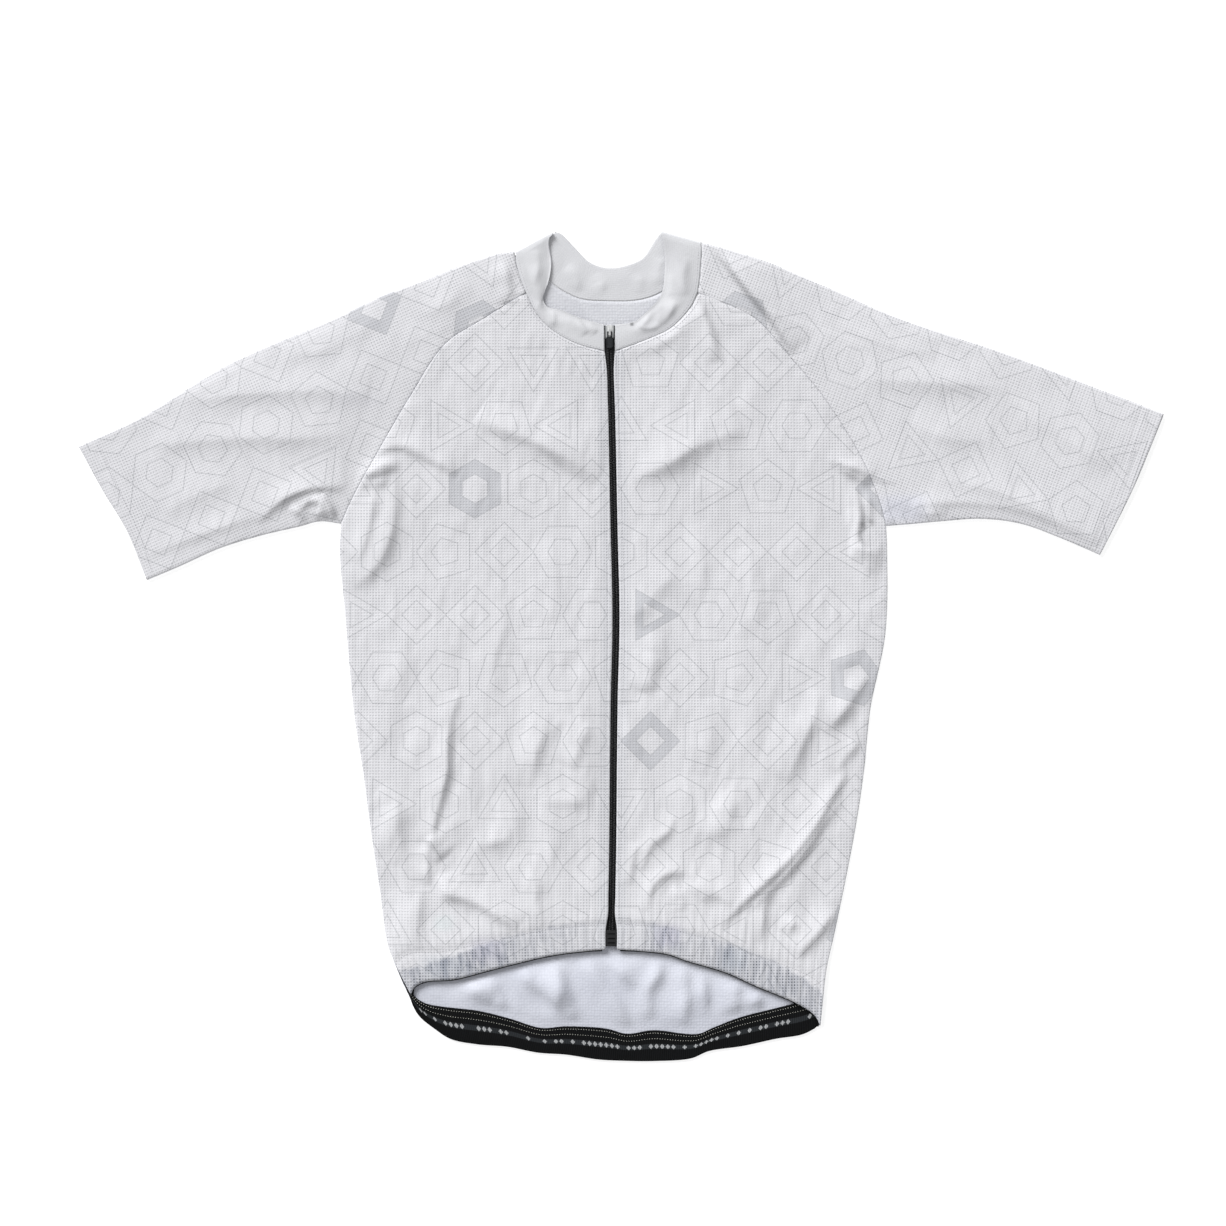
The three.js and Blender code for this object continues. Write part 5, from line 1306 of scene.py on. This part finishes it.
def makeBand():
    cells = band["cells"]

    def frontStrip(rows, edge, corner, gathered):
        foot = [(x, y - band["shows"], 0) for x, y, _ in rows[1:]] + [(edge, band["zipEnd"], 0)]
        head = [gathered] + [(x, y + band["tall"], 0) for x, y, _ in foot[1:]]
        return [corner] + foot, head

    def layer(foot, head, count, high):
        strip = stripLayer(runOf(foot), runOf(head), np.linspace(0, 1, count + 1)[1:], cells)
        strip[..., 2] = high
        return strip

    sides = {}
    inside = np.array([band["centre"]]).repeat(cells + 1, 0)
    for tag, (index, edge, gathered) in band["corners"].items():
        foot, head = frontStrip(seams["hem" + tag], edge, seams["bandFoot"][index], gathered)
        head = [seams["bandTop"][index]] + head
        front = layer(foot, head, 70, band["frontHigh"])[2:]
        low, high = np.array(seams["bandFoot"][index]), np.array(seams["bandTop"][index])
        line = low + (high - low) * np.linspace(0, 1, cells + 1)[:, None]
        line[:, 2] = band["frontHigh"] - clothWall / 2
        sides[tag] = (front, foldTurn(line, inside, band["backHigh"], band["wall"]))
    back = layer(seams["bandFoot"], seams["bandTop"], 300, band["backHigh"])[3:-3]
    strip, alongStrip, cut = joinStrip(sides, back, band["tall"])
    across = np.linspace(0, 1, cells + 1)[None]
    # shallow waves of the relaxed elastic, flat channels where it is sewn
    wave = 0.5 + 0.5 * np.sin(alongStrip[:, None] / 9.5 + 2 * np.sin(alongStrip[:, None] / 37))
    strip[..., 2] += 0.35 * wave * np.sin(np.pi * across)

    def outward(spot):
        return Vector((0, 0, 1 if spot.z > band["middleHigh"] else -1))

    cloth = makeCloth("gripperShell", strip, band["wall"], (bandMaterial(),), outward, cut)
    seat(cloth, "hem_gripper")
    start = len(sides["Left"][0]) + len(sides["Left"][1])
    for number, share in enumerate(band["stitchRows"]):
        path = strip[start + 2 : start + len(back) - 2, int(share * cells)]
        name = "bandStitch%d" % (number + 1)
        sewRow(name, "black_elastic", path, paleThread, **band["stitch"])
    print("gripper band laid")


makeBand()


sewing = {"length": 1.9, "pitch": 2.7, "radius": 0.24, "proud": 0.42}


def makeSewing():
    topOfFront = len(leftFront[0]) - 1
    hemRow = int(round(fronts["hemStitch"] * topOfFront))
    zipColumn = len(leftFront) - 4
    collarRow = topOfFront - 1
    cuffRow = len(leftSleeve[0]) - 1 - int(sleeves["cuffBand"] / 2.6)
    paths = {
        "zipStitchLeft": leftFront[zipColumn, hemRow:collarRow],
        "zipStitchRight": rightFront[zipColumn, hemRow:collarRow],
        "hemStitchLeft": leftFront[4:-6, hemRow],
        "hemStitchRight": rightFront[4:-6, hemRow],
        "neckStitchLeft": leftFront[2:-5, collarRow],
        "neckStitchRight": rightFront[2:-5, collarRow],
        "cuffStitchLeft": leftSleeve[1:-1, cuffRow],
        "cuffStitchRight": rightSleeve[1:-1, cuffRow],
        "collarStitchLeft": collarLeft[2:-3, 2],
        "collarStitchRight": collarRight[2:-3, 2],
    }
    for name, path in paths.items():
        sewRow(name, "light_knit", path, greyThread, **sewing)
    print("sewing done")


makeSewing()


zipper = {
    "wide": 13.0,
    "foot": -266.8,
    "top": 285.0,
    "wall": 0.9,
    "pitch": 1.5,
    "turnLong": 3.0,
    "turnThick": 0.62,
    "turnHigh": 0.72,
    "partRows": [(-266.8, 0), (273, 0), (279.5, 0.5), (285, 1.2)],  # y and how far the rows part
    "sliderAt": 279.0,
    "stopAt": -8.85,
    "pivotHigh": 8.4,
    "below": 1.3,  # from the cloth's underside to the tape's
    "tapeMiddle": 0.5,  # above the tape's underside
    "coilMiddle": 1.75,
    "flat": (0.013, 0.552),
}
# rounded blocks: width, length, bottom, top, x from the middle, y, corner, taper
sliderPlates = [
    (8.5, 12.4, 6.6, 7.6, 0, 279, 2.2, 0.78),  # upper wing
    (6.6, 12.4, 2.3, 3.5, 0, 279, 1.6, 0.9),  # lower wing
    (0.8, 3.2, 3.2, 6.8, 0, 282.6, 0.25, 1),  # post between the parting rows
    (0.6, 6.2, 5.1, 6.9, -3.5, 276.2, 0.15, 1),  # guiding rims, each before a foot of the bridge
    (1.4, 1.5, 7.4, 9.6, 0, 276.65, 0.4, 1),
    (0.6, 6.2, 5.1, 6.9, 3.5, 276.2, 0.15, 1),
    (1.4, 1.5, 7.4, 9.6, 0, 281.35, 0.4, 1),
    (1.6, 6.4, 9.1, 10.2, 0, 279, 0.7, 1),  # bridge
]
stopPlates = [
    (9.3, 14.2, 4.3, 5.7, 0, -259.4, 1.6, 1),
    (6.6, 1.6, 5.6, 6.0, 0, -263.4, 0.4, 1),  # ribs
    (6.6, 1.6, 5.6, 6.0, 0, -259.4, 0.4, 1),
    (6.6, 1.6, 5.6, 6.0, 0, -255.4, 0.4, 1),
]
# woven polyester zip tape: black, matt, with a fine herringbone
zipTape = texturedMaterial(
    "wovenZipTape",
    "ShaderNodeTexWave",
    1,
    {"Scale": 320.0, "Distortion": 2.0},
    ("#111214", "#1C1D21"),
    0.8,
    0.0001,
    bands_direction="DIAGONAL",
)
# nylon monofilament coil: black with a soft shine
nylonCoil = texturedMaterial(
    "nylonCoil",
    "ShaderNodeTexNoise",
    0,
    {"Scale": 500.0, "Detail": 3.0},
    ("#0C0D0F", "#1D1E22"),
    0.42,
    0.00003,
)


def metalMaterial(name, dark, light, rim, roughness, metallic):
    # die-cast zinc with a plated or painted finish and small scuffs; a painted reflection darkens its sides
    # away from the slider's middle line, leaving the crown bright
    material, tree = newMaterial(name)
    spot = addNode(tree, "ShaderNodeTexCoord").outputs["Object"]
    split = addNode(tree, "ShaderNodeSeparateXYZ", {0: spot})
    # painted reflection: the colour turns to the rim colour from 1.4 to 4 mm off the slider's middle line
    middle = zipValue(zipper["sliderAt"], 1) * mm
    off = addNode(tree, "ShaderNodeMath", {0: split.outputs[0], 1: middle}, operation="SUBTRACT")
    out = addNode(tree, "ShaderNodeMath", {0: off.outputs[0]}, operation="ABSOLUTE")
    ends = {0: out.outputs[0], 1: 1.4 * mm, 2: 4.0 * mm, 3: 0.0, 4: 1.0}
    edge = addNode(tree, "ShaderNodeMapRange", ends).outputs[0]
    scuff = addNode(tree, "ShaderNodeTexNoise", {"Vector": spot, "Scale": 420.0, "Detail": 5.0}).outputs[0]
    colour = toLinear(dark)
    for amount, other in ((scuff, light), (edge, rim)):
        ends = {0: amount, 6: colour, 7: toLinear(other)}
        colour = addNode(tree, "ShaderNodeMix", ends, data_type="RGBA").outputs[2]
    ends = {0: scuff, 1: 0.3, 2: 0.7, 3: roughness, 4: roughness + 0.15}
    rough = addNode(tree, "ShaderNodeMapRange", ends).outputs[0]
    finishMaterial(tree, colour, rough, scuff, 0.00004, Metallic=metallic)
    return material


def tapeFloor(y):
    return np.maximum(zipValue(y, 2) - zipper["below"], backRest + 0.9)


def makeTape(side, name, node):
    ys = np.r_[np.linspace(zipper["foot"], 200, 60), np.linspace(204, zipper["top"], 26)]
    middle = zipValue(ys, 1)
    low = tapeFloor(ys) + zipper["tapeMiddle"]
    parted = np.interp(ys, *zip(*zipper["partRows"]))
    across = np.linspace(0.2, zipper["wide"], 9)
    x = middle[None] + side * (across[:, None] + parted[None])
    places = np.stack([x, np.broadcast_to(ys, x.shape), np.broadcast_to(low, x.shape)], -1)
    tape = makeCloth(name, places, zipper["wall"], (zipTape,), lambda spot: Vector((0, 0, 1)))
    seat(tape, node)
    # coil: one flat bead a turn, the two rows meshing at the middle
    shape = bmesh.new()
    turns = np.arange(zipper["foot"] + 1, zipper["top"] - 0.6, zipper["pitch"])
    for y in turns + (zipper["pitch"] / 2 if side > 0 else 0):
        out = np.interp(y, *zip(*zipper["partRows"]))
        high = tapeFloor(y) + zipper["coilMiddle"]
        reach = zipper["turnLong"] / 2 + (0.12 if out < 0.2 else 0)
        spot = Matrix.Translation((zipValue(y, 1) + side * (1.35 + out), y, high))
        size = Matrix.Diagonal((reach, zipper["turnThick"], zipper["turnHigh"], 1))
        spot = Matrix.Scale(mm, 4) @ spot @ size
        bmesh.ops.create_icosphere(shape, subdivisions=1, radius=1.0, matrix=spot)
    coilName = name.replace("Tape", "Coil")
    coil = toObject(coilName, toMesh(coilName, shape, nylonCoil))
    coil.data.shade_smooth()
    seat(coil)


def addPlate(shape, wide, long, low, high, x, y, corner, taper):
    # taper narrows its lower end
    made = bmesh.ops.create_cube(shape, size=1.0)["verts"]
    for vert in made:
        narrow = taper if vert.co.y < 0 else 1.0
        vert.co.x *= narrow
    spot = Matrix.Translation((x, y, (low + high) / 2)) @ Matrix.Diagonal((wide, long, high - low, 1))
    bmesh.ops.transform(shape, matrix=spot, verts=made)
    edges = {e for v in made for e in v.link_edges}
    upright = [e for e in edges if abs((e.verts[0].co - e.verts[1].co).normalized().z) > 0.9]
    result = bmesh.ops.bevel(
        shape, geom=upright, offset=corner, segments=4, profile=0.5, affect="EDGES", material=-1
    )
    rims = {e for f in result["faces"] for e in f.edges}
    rims |= {e for v in made if v.is_valid for e in v.link_edges}
    flat = [e for e in rims if e.is_valid and abs((e.verts[0].co - e.verts[1].co).z) < 1e-4]
    bmesh.ops.bevel(shape, geom=flat, offset=0.16, segments=2, profile=0.5, affect="EDGES", material=-1)


def finishHard(name, shape, material, node, body="jersey"):
    bmesh.ops.scale(shape, vec=(mm, mm, mm), verts=shape.verts)
    seat(toObject(name, toMesh(name, shape, material)), node, body)


def makePlates(name, plates, middle, material, node):
    shape = bmesh.new()
    for wide, long, low, high, x, y, corner, taper in plates:
        addPlate(shape, wide, long, low, high, middle + x, y, corner, taper)
    finishHard(name, shape, material, node)


def makePull(dark):
    x, y, high = zipValue(zipper["sliderAt"], 1), zipper["sliderAt"], zipper["pivotHigh"]
    outline = [
        (-2.2, 0.5), (2.2, 0.5), (2.2, -3.9), (3.2, -5.9), (3.2, -12.4), (2.2, -13.7),
        (0, -14.2), (-2.2, -13.7), (-3.2, -12.4), (-3.2, -5.9), (-2.2, -3.9),
    ]
    hole = [(-1.2, -0.6), (1.2, -0.6), (1.2, -4.0), (-1.2, -4.0)]
    shape = bmesh.new()
    loops = []
    for points in (outline, hole):
        verts = [shape.verts.new((px, py, -0.45)) for px, py in points]
        loops += [shape.edges.new((a, b)) for a, b in zip(verts, verts[1:] + verts[:1])]
    bmesh.ops.triangle_fill(shape, edges=loops, use_beauty=True)
    grown = bmesh.ops.extrude_face_region(shape, geom=shape.faces[:])
    moved = [g for g in grown["geom"] if isinstance(g, bmesh.types.BMVert)]
    bmesh.ops.translate(shape, verts=moved, vec=(0, 0, 0.9))
    bmesh.ops.recalc_face_normals(shape, faces=shape.faces)
    sharp = [e for e in shape.edges if len(e.link_faces) == 2 and e.calc_face_angle() > 0.9]
    bmesh.ops.bevel(shape, geom=sharp, offset=0.14, segments=2, profile=0.5, affect="EDGES", material=-1)
    bmesh.ops.translate(shape, verts=shape.verts, vec=(x, y, high))
    finishHard("zipPullTab", shape, dark, "zip_pull", "pull")


makeTape(-1, "zipTapeLeftShell", "zip_tape_left")
makeTape(1, "zipTapeRightShell", "zip_tape_right")
silver = metalMaterial("silverPaintedZinc", "#D8DADB", "#FFFFFF", "#8A8D8F", 0.3, 0.4)
makePlates("zipSliderBody", sliderPlates, zipValue(zipper["sliderAt"], 1), silver, "zip_slider")
makePull(metalMaterial("darkPlatedZinc", "#232527", "#45474A", "#1A1B1D", 0.38, 0.8))
makePlates("zipBottomBlock", stopPlates, zipper["stopAt"], nylonCoil, "zip_bottom_stop")
print("zip built")
